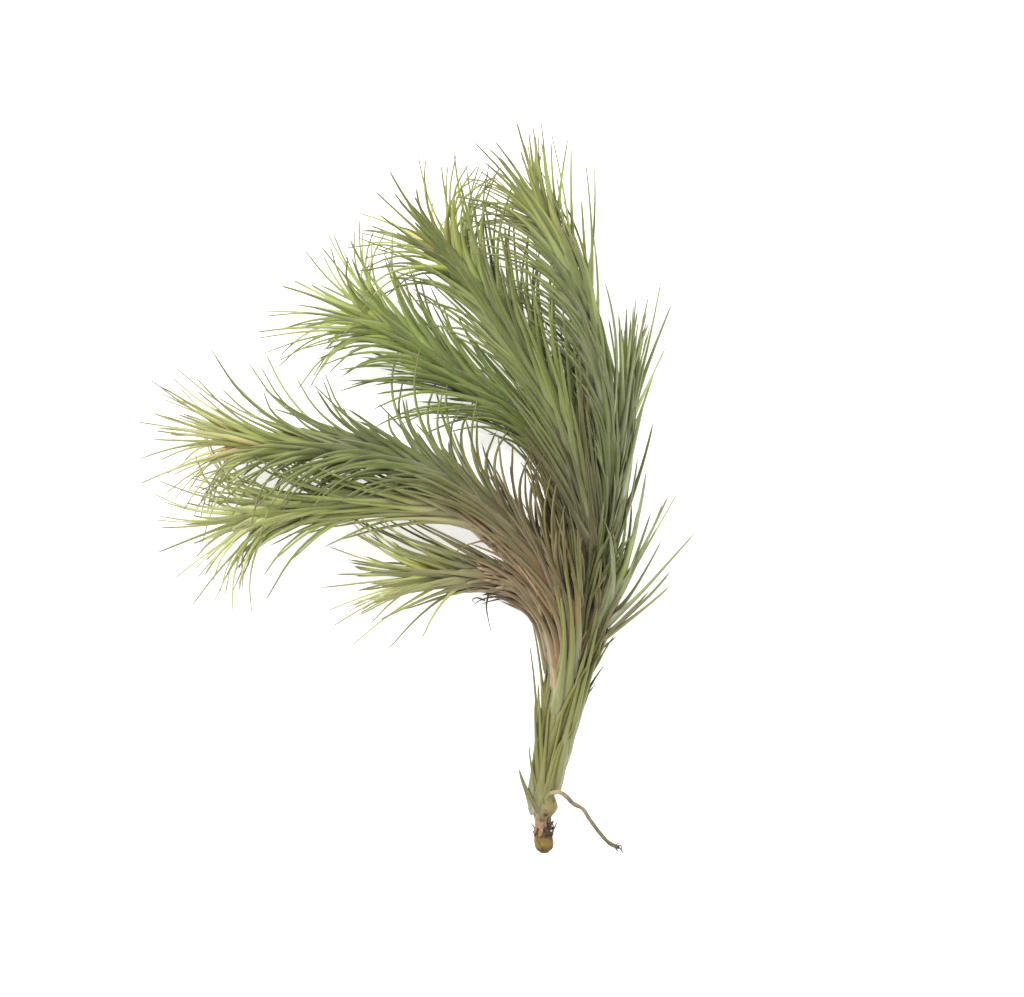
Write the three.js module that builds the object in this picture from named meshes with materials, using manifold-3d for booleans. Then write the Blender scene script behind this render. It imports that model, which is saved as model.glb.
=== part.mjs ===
// A cut clump of Tillandsia funckiana, lying on a table.
// One leafy main stem rises from a cut stub and forks into seven leafy side stems.
// X is across the clump, Y runs from the cut end to the growing tips, Z is up from the table.

import * as THREE from 'three';
import { mergeVertices } from 'three/addons/utils/BufferGeometryUtils.js';
import Module from 'manifold-3d';

const wasm = await Module();
wasm.setup();

// Driving dimensions, in millimetres
const LEAF_LENGTH = 43;
const LEAF_WIDTH = 2.2;
const LEAF_THICKNESS = 1.3;
const LEAF_SPACING = 0.66;
const TRUNK_RADIUS = 3.2;
const BRANCH_RADIUS = 1.9;
const CORE_TIP_RADIUS = 0.9;
const TIP_SPIKE = 25;
const STUB_RADIUS = 2.85;
const ROOT_RADIUS = 0.6;
const PIECE_GAP = 0.3;
const TABLE_CLEARANCE = 0.05;
const TABLE_SIZE = 600;

// How finely the pieces are divided
const LEAF_STEPS = 3;
const CORE_SIDES = 6;
const CORE_STEP = 3;
const ROOT_SIDES = 8;
const STUB_SIDES = 12;
const ROOT_STEPS = 18;

// How the leaves are set on their stem
const GOLDEN_ANGLE = Math.PI * (3 - Math.sqrt(5));
const LEAST_SPREAD = THREE.MathUtils.degToRad(9);
const LEAF_TAPER = 0.8;
const LEAF_HOLD = 0.15;
const YOUNG_LENGTH = 18;
const TIP_LENGTH_SHARE = 0.62;
const FOOT_LENGTH_SHARE = 0.5;
const TIP_REACH = 12;
const DRAW_SEED = 7;
const LEAST_FACING = 0.12;
const SHARED_VOLUME = 1e-5;

// Other ways for a leaf to lie, tried in turn where it would meet another leaf or stem
const LENGTH_FACTORS = [1, 0.85, 0.7, 0.5];
const SPREAD_FACTORS = [1, 0.75, 1.25, 0.5];
const FACET_CHOICES = 4;

// Side stems and the main stem, from the lowest point of each route to its growing tip.
// left and right are the angles in degrees that leaves' ends make with the stem, on its left
// and right sides, at even stations from its foot to its tip. rise is the angle that leaves
// start at, at the foot and at the tip. closed is the share of the angle left at the tip itself.
// lean is the way that leaves bend as they grow, at the foot, the middle and the tip.
// tips are where the outermost leaves end, seen from above.
const STEMS = [
  {
    name: 'main_stem',
    colour: 0x87915f,
    radius: TRUNK_RADIUS,
    route: [
      [39.5, -91, 4.8], [40.2, -85, 5], [42, -74, 5.2], [45, -62, 5.6], [48, -49.5, 7],
      [50.5, -36, 10], [53.5, -21, 14], [56, -6, 19], [57, 7.5, 23], [57, 21, 27],
      [55.5, 34.5, 30], [52.5, 48, 32], [48, 61, 33], [43, 72, 33], [38, 82, 32],
    ],
    left: [12, 4, 18, 30, 88],
    right: [28, 28, 4, 4, 22],
    rise: [16, 24],
    closed: 0.95,
    bareFoot: 2,
    shortFoot: 40,
    lean: [[0.15, 0.15, 0], [-0.6, -0.3, 0], [-0.1, -0.15, 0]],
    tips: [
      [30.4, 110.5], [37.9, 111.1], [46.4, 106], [53.9, 97.6], [17.2, 103.3], [13.7, 92.5],
      [31.6, -83.8], [34.7, -45.4], [47.5, -22.4],
    ],
  },
  {
    name: 'middle_stem',
    colour: 0x8a9660,
    radius: BRANCH_RADIUS,
    route: [
      [53, -22.5, 15], [53, -16, 20], [51.5, -4.5, 26], [48, 9, 30], [43, 22, 31],
      [36.5, 34.5, 31], [29.5, 45.5, 30], [22.5, 56, 29], [16, 64.5, 28], [10, 71, 27],
    ],
    left: [18, 32, 52, 88],
    right: [4, 16, 28, 88],
    rise: [27, 28],
    closed: 1,
    bareFoot: 6,
    shortFoot: 0,
    lean: [[-0.1, 0.35, 0], [0.2, 0.2, 0], [0.45, -0.15, 0]],
    leafLength: 49,
    tips: [
      [1.3, 101.5], [8.5, 97.6], [-7, 95], [-11.8, 89.5], [-17.8, 84.1], [-22.1, 71.2],
      [26.2, 96.1],
    ],
  },
  {
    name: 'upper_left_stem',
    colour: 0x8d9166,
    radius: BRANCH_RADIUS,
    route: [
      [49, -45, 8], [46, -36.5, 15], [40.5, -25.5, 20], [32.5, -15, 23], [23, -6, 24],
      [11, 2.5, 24], [-2.5, 9, 23], [-17.5, 12, 22], [-32.5, 13, 20], [-44.5, 14, 19],
      [-55, 16, 18],
    ],
    left: [32, 34, 70, 88],
    right: [30, 66, 88, 40],
    rise: [13, 23],
    closed: 0.45,
    bareFoot: 8,
    shortFoot: 0,
    lean: [[0.3, 0.5, 0], [-0.1, -0.1, 0], [0.1, -0.3, 0]],
    tips: [
      [-85, 20.8], [-80.5, 34.4], [-74, 38.9], [-60.1, 42.1], [-50.5, 39.8], [-35.9, 35.2],
      [-83.2, 8.8], [-83.2, 1.1], [7.9, 35.5], [-13.3, 20.8],
    ],
  },
  {
    name: 'back_stem',
    colour: 0x7c8a4c,
    radius: BRANCH_RADIUS,
    route: [
      [50, -39.5, 9], [48.5, -30, 8.5], [47, -18, 9.5], [45, -3, 11], [40.5, 10, 13],
      [32.5, 20.5, 14], [23.5, 27, 15], [13, 34.5, 16], [3, 42, 17], [-5, 47.5, 18],
      [-13, 51.5, 18],
    ],
    left: [10, 60, 60, 88],
    right: [26, 40, 48, 86],
    rise: [16, 24],
    closed: 0.95,
    bareFoot: 8,
    shortFoot: 0,
    lean: [[0.3, 0.1, 0], [0.1, -0.3, 0], [0.1, -0.05, 0]],
    tips: [
      [-27.1, 79.6], [-32.9, 72.5], [-39.8, 60.8], [-48.1, 53.5], [-49.6, 44.9], [-41.2, 35.9],
      [-27.8, 34.4], [-13.3, 31.6],
    ],
  },
  {
    name: 'lower_left_stem',
    colour: 0x8c985c,
    radius: BRANCH_RADIUS,
    route: [
      [48, -49.5, 7], [43, -39.5, 9], [35.5, -28, 10], [26, -18, 11], [14, -10.5, 12],
      [0.5, -6, 13], [-14.5, -4.5, 14], [-29.5, -5, 14], [-40, -6, 13], [-47.5, -8, 13],
    ],
    left: [10, 4, 60, 68],
    right: [20, 4, 28, 88],
    rise: [20, 22],
    closed: 0.8,
    bareFoot: 7,
    shortFoot: 0,
    lean: [[-0.1, -0.05, 0], [0, 0.1, 0], [0.2, 0.2, 0]],
    tips: [
      [-80, -8.5], [-77.2, -19.1], [-73.6, -27.8], [-67.6, -36.1], [-53.9, -38.9],
      [-45.4, -34.4], [-36.4, -20.8], [-79.6, -0.1],
    ],
  },
  {
    name: 'right_stem',
    colour: 0x76864e,
    radius: BRANCH_RADIUS,
    route: [
      [51, -33.5, 11], [55.5, -25.5, 10], [59, -10.5, 11], [61, 4.5, 13], [62, 16, 14],
      [63, 27, 15],
    ],
    left: [10, 14, 52],
    right: [4, 4, 4],
    rise: [6, 13],
    closed: 0.6,
    bareFoot: 6,
    shortFoot: 0,
    lean: [[-0.7, 0.7, 0], [-0.45, 0.2, 0], [0.15, 0.2, 0]],
    tips: [
      [74.8, 65.2], [78.1, 57.4], [75.8, 43.6], [72.1, 20.8], [66.1, 56.9],
    ],
  },
  {
    name: 'short_left_stem',
    colour: 0x97a452,
    radius: BRANCH_RADIUS,
    route: [
      [46, -57, 6], [41.5, -45, 7], [35, -34.5, 8], [26, -28.5, 9], [15.5, -26, 10],
      [4.5, -25, 11],
    ],
    left: [16, 20, 58, 42],
    right: [14, 42, 34, 72],
    rise: [9, 22],
    closed: 0.6,
    bareFoot: 8,
    shortFoot: 0,
    lean: [[0.3, -0.2, 0], [0.05, -0.1, 0], [0, -0.1, 0]],
    tips: [
      [-30.1, -29.5], [-26.2, -41.9], [-20.8, -48.4], [-9.2, -49.4], [2.2, -45.1],
      [-26.6, -16.6], [-6.5, -14.8],
    ],
  },
  {
    name: 'short_right_stem',
    colour: 0x7e8b4f,
    radius: BRANCH_RADIUS,
    route: [[49, -51, 7], [53.5, -43, 9], [58, -35, 11], [61, -28, 13]],
    left: [20, 28, 58],
    right: [4, 24, 30],
    rise: [12, 12],
    closed: 0.55,
    bareFoot: 6,
    shortFoot: 0,
    lean: [[-0.3, 0, 0], [-0.35, 0.2, 0], [0, 0, 0]],
    tips: [
      [77, -0.4], [85, -11.8], [77.5, -23.8], [79.6, -28.9], [61.3, -43.6], [69.5, 6.1],
    ],
  },
];

// The bare cut end. The profile is its radius as a share of STUB_RADIUS, from the cut end up:
// a round end, a rotten waist and a pale swelling under the lowest leaves.
const STUB_ROUTE = [[39.4, -109.6, 2.3], [39, -103.5, 2.4], [38.9, -97.5, 3.6], [39.4, -91.4, 4.7]];
const STUB_PROFILE = [1, 0.98, 0.8, 0.84, 1.02, 1.04, 0.86];

// The wiry root leaves the foot of the stem and ends on the table
const ROOT_ROUTE = [
  [40.5, -91.5, 6.5], [43.6, -90.8, 9.2], [45.8, -92, 9], [47.9, -94.3, 7.5],
  [50.9, -96.1, 6], [53.2, -99.5, 4.5], [55.9, -103.3, 3], [58.9, -106.6, 1.6],
  [61.9, -108.1, 0.75],
];

// A repeatable draw of numbers from 0 to 1
function makeDraw(seed) {
  let state = seed;
  return () => {
    state = (state + 0x6d2b79f5) | 0;
    let mixed = Math.imul(state ^ (state >>> 15), 1 | state);
    mixed = (mixed + Math.imul(mixed ^ (mixed >>> 7), 61 | mixed)) ^ mixed;
    return ((mixed ^ (mixed >>> 14)) >>> 0) / 4294967296;
  };
}

function toVector([x, y, z]) {
  return new THREE.Vector3(x, y, z);
}

// A closed solid from a geometry, with its shared vertices merged
function toSolid(geometry) {
  geometry.deleteAttribute('normal');
  geometry.deleteAttribute('uv');
  const merged = mergeVertices(geometry);
  return new wasm.Manifold(new wasm.Mesh({
    numProp: 3,
    vertProperties: new Float32Array(merged.attributes.position.array),
    triVerts: new Uint32Array(merged.index.array),
  }));
}

function toGeometry(solid) {
  const mesh = solid.getMesh();
  const geometry = new THREE.BufferGeometry();
  geometry.setAttribute('position', new THREE.BufferAttribute(mesh.vertProperties, 3));
  geometry.setIndex(new THREE.BufferAttribute(mesh.triVerts, 1));
  geometry.computeVertexNormals();
  return geometry;
}

// The largest body of a solid: loose scraps are dropped and sealed hollows are filled
function largestBody(solid) {
  const bodies = solid.decompose();
  return bodies.reduce((best, body) => (body.volume() > best.volume() ? body : best));
}

// A route with evenly spaced frames that don't twist
function makeTrack(route, step) {
  const curve = new THREE.CatmullRomCurve3(route.map(toVector), false, 'centripetal');
  const length = curve.getLength();
  const count = Math.max(2, Math.round(length / step));
  const frames = curve.computeFrenetFrames(count, false);
  const points = curve.getSpacedPoints(count);
  return { length, count, points, ...frames };
}

// The frame of a track at a distance from its foot
function frameAt(track, distance) {
  const place = THREE.MathUtils.clamp(distance / track.length, 0, 1) * track.count;
  const index = Math.min(Math.floor(place), track.count - 1);
  const part = place - index;
  const blend = (list) => list[index].clone().lerp(list[index + 1], part);
  return {
    point: blend(track.points),
    tangent: blend(track.tangents).normalize(),
    normal: blend(track.normals).normalize(),
    binormal: blend(track.binormals).normalize(),
  };
}

// A round rod along a track, with its radius given along its length.
// Each ring is turned half a side on from the last, so that the rod's facets are alike.
function rodAlong(track, radiusAt, sides, tipLength = 0) {
  const geometry = new THREE.CylinderGeometry(1, 1, 1, sides, track.count);
  const position = geometry.attributes.position;
  for (let i = 0; i < position.count; i += 1) {
    const part = position.getY(i) + 0.5;
    const ring = Math.round(part * track.count);
    const reach = Math.hypot(position.getX(i), position.getZ(i)) * radiusAt(part);
    const turn = Math.atan2(-position.getZ(i), position.getX(i)) - ring * Math.PI / sides;
    const place = track.points[ring].clone()
      .addScaledVector(track.normals[ring], Math.cos(turn) * reach)
      .addScaledVector(track.binormals[ring], Math.sin(turn) * reach);
    if (part === 1 && reach < CORE_TIP_RADIUS / 2) {
      place.addScaledVector(track.tangents[ring], tipLength);
    }
    position.setXYZ(i, place.x, place.y, place.z);
  }
  geometry.deleteAttribute('normal');
  geometry.deleteAttribute('uv');
  return mergeVertices(geometry);
}

// A number given at even stations from 0 to 1
function atStations(numbers, part) {
  const place = part * (numbers.length - 1);
  const index = Math.min(Math.floor(place), numbers.length - 2);
  return THREE.MathUtils.lerp(numbers[index], numbers[index + 1], place - index);
}

function leanAt(stem, part) {
  return toVector([0, 1, 2].map((k) => atStations(stem.lean.map((lean) => lean[k]), part)));
}

// The way outward from a stem, at a turn about it
function outwardAt(frame, azimuth) {
  return frame.normal.clone().multiplyScalar(Math.cos(azimuth))
    .addScaledVector(frame.binormal, Math.sin(azimuth));
}

function coreRadius(stem, part) {
  const tipPart = THREE.MathUtils.smoothstep(part, 0.8, 1);
  const full = THREE.MathUtils.lerp(stem.radius, BRANCH_RADIUS, Math.min(1, part * 1.6));
  return THREE.MathUtils.lerp(full, CORE_TIP_RADIUS, tipPart);
}

// Half the width that a leaf takes up round its middle line
function leafReach(part) {
  return LEAF_WIDTH * 0.55 * (1 - part) ** LEAF_TAPER;
}

// The side facets of a stem's core, in rows, each with its centre and its way outward.
// The rod lists them side by side, and down each side from the tip to the foot.
function coreFacets(stem, geometry) {
  const { position } = geometry.attributes;
  const { count, length } = stem.track;
  const rows = Array.from({ length: count }, () => []);
  for (let number = 0; number < 2 * CORE_SIDES * count; number += 1) {
    const face = 3 * number;
    const row = count - 1 - (Math.floor(number / 2) % count);
    const points = [0, 1, 2].map((k) => (
      new THREE.Vector3().fromBufferAttribute(position, geometry.index.getX(face + k))
    ));
    const centre = points[0].clone().add(points[1]).add(points[2]).divideScalar(3);
    const frame = frameAt(stem.track, (row + 0.5) * length / count);
    const outward = centre.clone().sub(frame.point);
    outward.addScaledVector(frame.tangent, -outward.dot(frame.tangent)).normalize();
    const facing = new THREE.Triangle(...points).getNormal(new THREE.Vector3());
    const lean = leanAt(stem, (row + 0.5) / count);
    rows[row].push({ face, points, centre, outward, facing, frame, lean, used: false });
  }
  return rows;
}

// The free facets of a row, those that face the wanted way first
function nearestFacets(row, wanted) {
  return row.filter((facet) => !facet.used)
    .sort((a, b) => b.outward.dot(wanted) - a.outward.dot(wanted))
    .slice(0, FACET_CHOICES);
}

// The middle line of one leaf: it leaves its facet along the stem, then curves outward
function leafPoints(facet, form) {
  const points = [facet.centre.clone()];
  for (let i = 1; i <= LEAF_STEPS; i += 1) {
    const middle = (i - 0.5) / LEAF_STEPS;
    const bent = Math.max(0, (middle - LEAF_HOLD) / (1 - LEAF_HOLD));
    const angle = THREE.MathUtils.lerp(form.rise, form.spread, bent);
    const heading = facet.frame.tangent.clone().multiplyScalar(Math.cos(angle))
      .addScaledVector(facet.outward, Math.sin(angle));
    heading.addScaledVector(facet.lean, middle);
    const next = points[i - 1].clone()
      .addScaledVector(heading.normalize(), form.length / LEAF_STEPS);
    next.z = Math.max(next.z, leafReach(i / LEAF_STEPS) + TABLE_CLEARANCE);
    points.push(next);
  }
  return points;
}

// The nearest of a stem's free tips to a leaf's end, seen from above, if one is in reach
function nearestTip(stem, end) {
  const gap = (tip) => Math.hypot(tip[0] - end.x, tip[1] - end.y);
  return stem.freeTips.filter((tip) => gap(tip) < TIP_REACH)
    .sort((a, b) => gap(a) - gap(b))[0];
}

// Bends a leaf's middle line so that it ends at a tip
function bendTo(points, tip) {
  const end = points[LEAF_STEPS];
  const move = new THREE.Vector3(tip[0] - end.x, tip[1] - end.y, 0);
  return points.map((point, i) => point.clone().addScaledVector(move, (i / LEAF_STEPS) ** 2));
}

// A leaf's corners: its facet's own three, then a smaller three at each bend, then its tip
function leafCorners(facet, points) {
  const corners = [...facet.points];
  for (let i = 1; i < LEAF_STEPS; i += 1) {
    const part = i / LEAF_STEPS;
    const tangent = points[i + 1].clone().sub(points[i - 1]).normalize();
    const side = new THREE.Vector3().crossVectors(tangent, facet.outward).normalize();
    const keel = new THREE.Vector3().crossVectors(side, tangent);
    const across = facet.points.map((point) => point.clone().sub(facet.centre).dot(side));
    const deep = facet.points.map((point) => point.clone().sub(facet.centre).dot(keel));
    const width = LEAF_WIDTH * (1 - part) ** LEAF_TAPER / (Math.max(...across) - Math.min(...across));
    const depth = LEAF_THICKNESS * (1 - part) ** LEAF_TAPER / (Math.max(...deep) - Math.min(...deep));
    for (let k = 0; k < 3; k += 1) {
      corners.push(points[i].clone()
        .addScaledVector(side, across[k] * width)
        .addScaledVector(keel, deep[k] * depth));
    }
  }
  corners.push(points[LEAF_STEPS]);
  return corners;
}

// The triangles of a leaf's sides, as places in its list of corners
function leafFaces() {
  const faces = [];
  for (let i = 0; i < LEAF_STEPS; i += 1) {
    for (let k = 0; k < 3; k += 1) {
      const next = (k + 1) % 3;
      const low = i * 3;
      if (i < LEAF_STEPS - 1) {
        faces.push([low + k, low + next, low + 3 + next], [low + k, low + 3 + next, low + 3 + k]);
      } else {
        faces.push([low + k, low + next, low + 3]);
      }
    }
  }
  return faces;
}

// One leaf as a closed solid, to test it against its neighbours
function leafSolid(corners) {
  const faces = [[2, 1, 0], ...leafFaces()];
  return new wasm.Manifold(new wasm.Mesh({
    numProp: 3,
    vertProperties: new Float32Array(corners.flatMap((corner) => corner.toArray())),
    triVerts: new Uint32Array(faces.flat()),
  }));
}

// A stem with its leaves raised from the facets of its core
function raiseLeaves(core, leaves) {
  const places = Array.from(core.attributes.position.array);
  const raised = new Set(leaves.map((leaf) => leaf.facet.face));
  const index = [];
  for (let face = 0; face < core.index.count; face += 3) {
    if (!raised.has(face)) {
      index.push(...[0, 1, 2].map((k) => core.index.getX(face + k)));
    }
  }
  for (const { facet, corners } of leaves) {
    const first = places.length / 3;
    places.push(...corners.slice(3).flatMap((corner) => corner.toArray()));
    const numberOf = (k) => (k < 3 ? core.index.getX(facet.face + k) : first + k - 3);
    index.push(...leafFaces().flat().map(numberOf));
  }
  const geometry = new THREE.BufferGeometry();
  geometry.setAttribute('position', new THREE.Float32BufferAttribute(places, 3));
  geometry.setIndex(index);
  return geometry;
}

// The clear distance between two tapered rods, given by their middle lines and end radii
function clearDistance(a, b) {
  const along = a.end.clone().sub(a.start);
  const other = b.end.clone().sub(b.start);
  const between = a.start.clone().sub(b.start);
  const aa = along.lengthSq();
  const bb = other.lengthSq();
  const ab = along.dot(other);
  const ar = along.dot(between);
  const br = other.dot(between);
  const spread = aa * bb - ab * ab;
  let onA = spread > 1e-9 ? THREE.MathUtils.clamp((ab * br - ar * bb) / spread, 0, 1) : 0;
  let onB = (ab * onA + br) / bb;
  if (onB < 0 || onB > 1) {
    onB = THREE.MathUtils.clamp(onB, 0, 1);
    onA = THREE.MathUtils.clamp((ab * onB - ar) / aa, 0, 1);
  }
  const nearA = a.start.clone().addScaledVector(along, onA);
  const nearB = b.start.clone().addScaledVector(other, onB);
  return nearA.distanceTo(nearB)
    - THREE.MathUtils.lerp(a.startRadius, a.endRadius, onA)
    - THREE.MathUtils.lerp(b.startRadius, b.endRadius, onB);
}

function makeRod(owner, start, end, startRadius, endRadius) {
  const box = new THREE.Box3().setFromPoints([start, end]);
  box.expandByScalar(Math.max(startRadius, endRadius) + PIECE_GAP);
  return { owner, start, end, startRadius, endRadius, box };
}

function leafRods(stem, points) {
  const rods = [];
  for (let i = 0; i < LEAF_STEPS; i += 1) {
    rods.push(makeRod(
      stem.name, points[i], points[i + 1],
      leafReach(i / LEAF_STEPS), leafReach((i + 1) / LEAF_STEPS),
    ));
  }
  return rods;
}

function coreRods(owner, track, radiusAt) {
  const rods = [];
  for (let i = 0; i < track.count; i += 1) {
    rods.push(makeRod(
      owner, track.points[i], track.points[i + 1],
      radiusAt(i / track.count), radiusAt((i + 1) / track.count),
    ));
  }
  return rods;
}

// The spike of rolled young leaves beyond the end of a stem's core
function spikeRod(stem) {
  const { points, tangents, count } = stem.track;
  const end = points[count].clone().addScaledVector(tangents[count], TIP_SPIKE);
  return makeRod(stem.name, points[count], end, CORE_TIP_RADIUS, 0);
}

function isClear(rods, others, gap) {
  return rods.every((rod) => others.every(
    (other) => !rod.box.intersectsBox(other.box) || clearDistance(rod, other) > gap,
  ));
}

// The angles of a leaf's start and end and its length, by its place on the stem
function leafForm(stem, frame, outward, distance, draw) {
  const { smoothstep, lerp, degToRad } = THREE.MathUtils;
  const part = distance / stem.track.length;
  const toTip = stem.track.length - distance;
  const young = smoothstep(toTip, -3, YOUNG_LENGTH);
  const foot = stem.shortFoot > 0 ? smoothstep(distance, -20, stem.shortFoot) : 1;
  const leftward = new THREE.Vector3(0, 0, 1).cross(frame.tangent).normalize();
  const leftShare = 0.5 + 0.5 * outward.dot(leftward);
  const open = lerp(atStations(stem.right, part), atStations(stem.left, part), leftShare);
  const wanted = degToRad(open * lerp(stem.closed, 1, young) * (0.5 + 0.7 * draw()));
  const spread = Math.max(LEAST_SPREAD, wanted);
  const steady = smoothstep(toTip, 0, 1.3 * YOUNG_LENGTH);
  const rise = lerp(spread / 2, degToRad(lerp(stem.rise[0], stem.rise[1], part)), steady);
  const tipShare = lerp(TIP_LENGTH_SHARE, 1, young);
  const footShare = lerp(FOOT_LENGTH_SHARE, 1, foot);
  return {
    spread,
    rise: Math.max(LEAST_SPREAD, Math.min(rise, spread)),
    length: (stem.leafLength ?? LEAF_LENGTH) * tipShare * footShare * (0.86 + 0.2 * draw()),
  };
}

// Whether a leaf stands out of its facet enough, as far as its first bend
function leavesFacet(facet, points) {
  return [points[1], points[2]].every((point) => (
    point.clone().sub(points[0]).normalize().dot(facet.facing) > LEAST_FACING
  ));
}

// Every way for one leaf to lie, the most natural first
function* leafWays(stem, facets, form) {
  for (const lengthFactor of LENGTH_FACTORS) {
    for (const facet of facets) {
      for (const spreadFactor of SPREAD_FACTORS) {
        const spread = Math.max(LEAST_SPREAD, form.spread * spreadFactor);
        const rise = Math.min(form.rise, spread);
        const length = form.length * lengthFactor;
        const plain = leafPoints(facet, { spread, rise, length });
        const tip = nearestTip(stem, plain[LEAF_STEPS]);
        const points = tip ? bendTo(plain, tip) : plain;
        if (leavesFacet(facet, points)) {
          yield { facet, points, tip, rods: leafRods(stem, points) };
        }
      }
    }
  }
}

// Whether a leaf cuts none of the solids that it passes close to
function cutsNothing(solid, others) {
  return others.every((other) => solid.intersect(other).volume() < SHARED_VOLUME);
}

// The leaves of one stem, each bent clear of every other piece or left out
function growLeaves(stem, obstacles, draw) {
  const leaves = [];
  const foreign = obstacles.filter((rod) => rod.owner !== stem.name);
  const rows = coreFacets(stem, stem.coreGeometry);
  const coreSolid = toSolid(stem.coreGeometry);
  const last = stem.track.length - 1;
  let azimuth = draw() * Math.PI * 2;
  for (let distance = stem.bareFoot; distance < last; distance += LEAF_SPACING) {
    azimuth += GOLDEN_ANGLE;
    const row = rows[Math.floor(distance / stem.track.length * stem.track.count)];
    const frame = frameAt(stem.track, distance);
    const outward = outwardAt(frame, azimuth);
    const form = leafForm(stem, frame, outward, distance, draw);
    for (const way of leafWays(stem, nearestFacets(row, outward), form)) {
      if (isClear(way.rods, foreign, PIECE_GAP)) {
        const corners = leafCorners(way.facet, way.points);
        const solid = leafSolid(corners);
        const close = leaves.filter((leaf) => !isClear(way.rods, leaf.rods, 0))
          .map((leaf) => leaf.solid);
        if (cutsNothing(solid, [coreSolid, ...close])) {
          way.facet.used = true;
          stem.freeTips = stem.freeTips.filter((tip) => tip !== way.tip);
          leaves.push({ ...way, corners, solid });
          obstacles.push(...way.rods);
          break;
        }
      }
    }
  }
  return leaves;
}

function makeMesh(name, solid, colour, roughness) {
  const material = new THREE.MeshStandardMaterial({ color: colour, roughness, metalness: 0 });
  const mesh = new THREE.Mesh(toGeometry(solid), material);
  mesh.name = name;
  return mesh;
}

// Everything below the table top, to cut a flat spot where the stub lies
function belowTable() {
  const block = new THREE.BoxGeometry(TABLE_SIZE, TABLE_SIZE, TABLE_SIZE);
  block.translate(0, 0, -TABLE_SIZE / 2);
  return toSolid(block);
}

function stubRadius(part) {
  return STUB_RADIUS * atStations(STUB_PROFILE, part);
}

function rootSection() {
  const outline = new THREE.Shape();
  outline.absarc(0, 0, ROOT_RADIUS, 0, Math.PI * 2);
  return outline;
}

function rootSolid() {
  const curve = new THREE.CatmullRomCurve3(ROOT_ROUTE.map(toVector), false, 'centripetal');
  return toSolid(new THREE.ExtrudeGeometry(rootSection(), {
    extrudePath: curve, steps: ROOT_STEPS, curveSegments: ROOT_SIDES / 2, bevelEnabled: false,
  }));
}

// The cores come first: every leaf keeps clear of all of them
const stubTrack = makeTrack(STUB_ROUTE, 3);
const stubSolid = toSolid(rodAlong(stubTrack, stubRadius, STUB_SIDES)).subtract(belowTable());
const rootTrack = makeTrack(ROOT_ROUTE, 2);
const obstacles = [
  ...coreRods('cut_stub', stubTrack, stubRadius),
  ...coreRods('wiry_root', rootTrack, () => ROOT_RADIUS),
];
const guards = [toSolid(rodAlong(stubTrack, (part) => stubRadius(part) + PIECE_GAP, STUB_SIDES))];
for (const stem of STEMS) {
  const radiusAt = (part) => coreRadius(stem, part);
  stem.track = makeTrack(stem.route, CORE_STEP);
  stem.coreGeometry = rodAlong(stem.track, radiusAt, CORE_SIDES, TIP_SPIKE);
  stem.guards = [...guards];
  stem.freeTips = stem.tips;
  const guard = rodAlong(stem.track, (part) => radiusAt(part) + PIECE_GAP, CORE_SIDES);
  guards.push(toSolid(guard));
  obstacles.push(...coreRods(stem.name, stem.track, radiusAt), spikeRod(stem));
}

// Each side stem's foot is cut back from the stems that were made before it
function cutBack(solid, cutters) {
  return largestBody(cutters.reduce((rest, cutter) => rest.subtract(cutter), solid));
}

const draw = makeDraw(DRAW_SEED);
const clump = new THREE.Group();
clump.add(makeMesh('cut_stub', stubSolid, 0x85723a, 0.85));
clump.add(makeMesh('wiry_root', cutBack(rootSolid(), guards), 0x968269, 0.8));
for (const stem of STEMS) {
  const leaves = growLeaves(stem, obstacles, draw);
  const leafy = toSolid(raiseLeaves(stem.coreGeometry, leaves));
  clump.add(makeMesh(stem.name, cutBack(leafy, stem.guards), stem.colour, 0.6));
}

// The origin is at the middle of the clump's foot print, on the table
const box = new THREE.Box3().setFromObject(clump);
const middle = box.getCenter(new THREE.Vector3());
clump.position.set(-middle.x, -middle.y, -box.min.z);

export default clump;
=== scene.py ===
"""A cut clump of Tillandsia funckiana, lying on a white table and seen from above.

Eight leafy stems, a bare cut stub and a wiry root are built leaf by leaf over the measured solids.
Everything is in metres: X across the clump, Y from the cut end to the growing tips, Z up.
"""

import logging
import math
from collections.abc import Callable, Sequence
from dataclasses import dataclass, field, replace
from typing import Protocol

import bpy
import numpy as np
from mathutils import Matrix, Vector
from numpy.typing import NDArray


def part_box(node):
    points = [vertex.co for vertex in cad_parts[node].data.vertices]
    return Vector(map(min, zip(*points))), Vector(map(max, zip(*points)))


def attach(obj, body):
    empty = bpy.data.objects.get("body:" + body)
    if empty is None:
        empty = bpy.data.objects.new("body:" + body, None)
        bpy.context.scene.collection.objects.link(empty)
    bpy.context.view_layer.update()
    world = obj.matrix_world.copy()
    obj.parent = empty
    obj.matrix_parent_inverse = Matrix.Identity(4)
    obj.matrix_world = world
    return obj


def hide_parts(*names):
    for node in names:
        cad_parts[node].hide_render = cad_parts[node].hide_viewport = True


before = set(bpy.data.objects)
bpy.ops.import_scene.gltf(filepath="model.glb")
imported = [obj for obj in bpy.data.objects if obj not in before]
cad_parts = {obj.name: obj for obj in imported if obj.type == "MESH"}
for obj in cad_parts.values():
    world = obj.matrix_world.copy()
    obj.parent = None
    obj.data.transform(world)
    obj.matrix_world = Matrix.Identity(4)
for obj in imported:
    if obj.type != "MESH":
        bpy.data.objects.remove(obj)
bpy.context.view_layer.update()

Array = NDArray[np.float64]
Pair = tuple[float, float]
Triple = tuple[float, float, float]
Shade = tuple[int, int, int]
Stops = Sequence[tuple[float, Shade]]
Socket = bpy.types.NodeSocket

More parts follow.
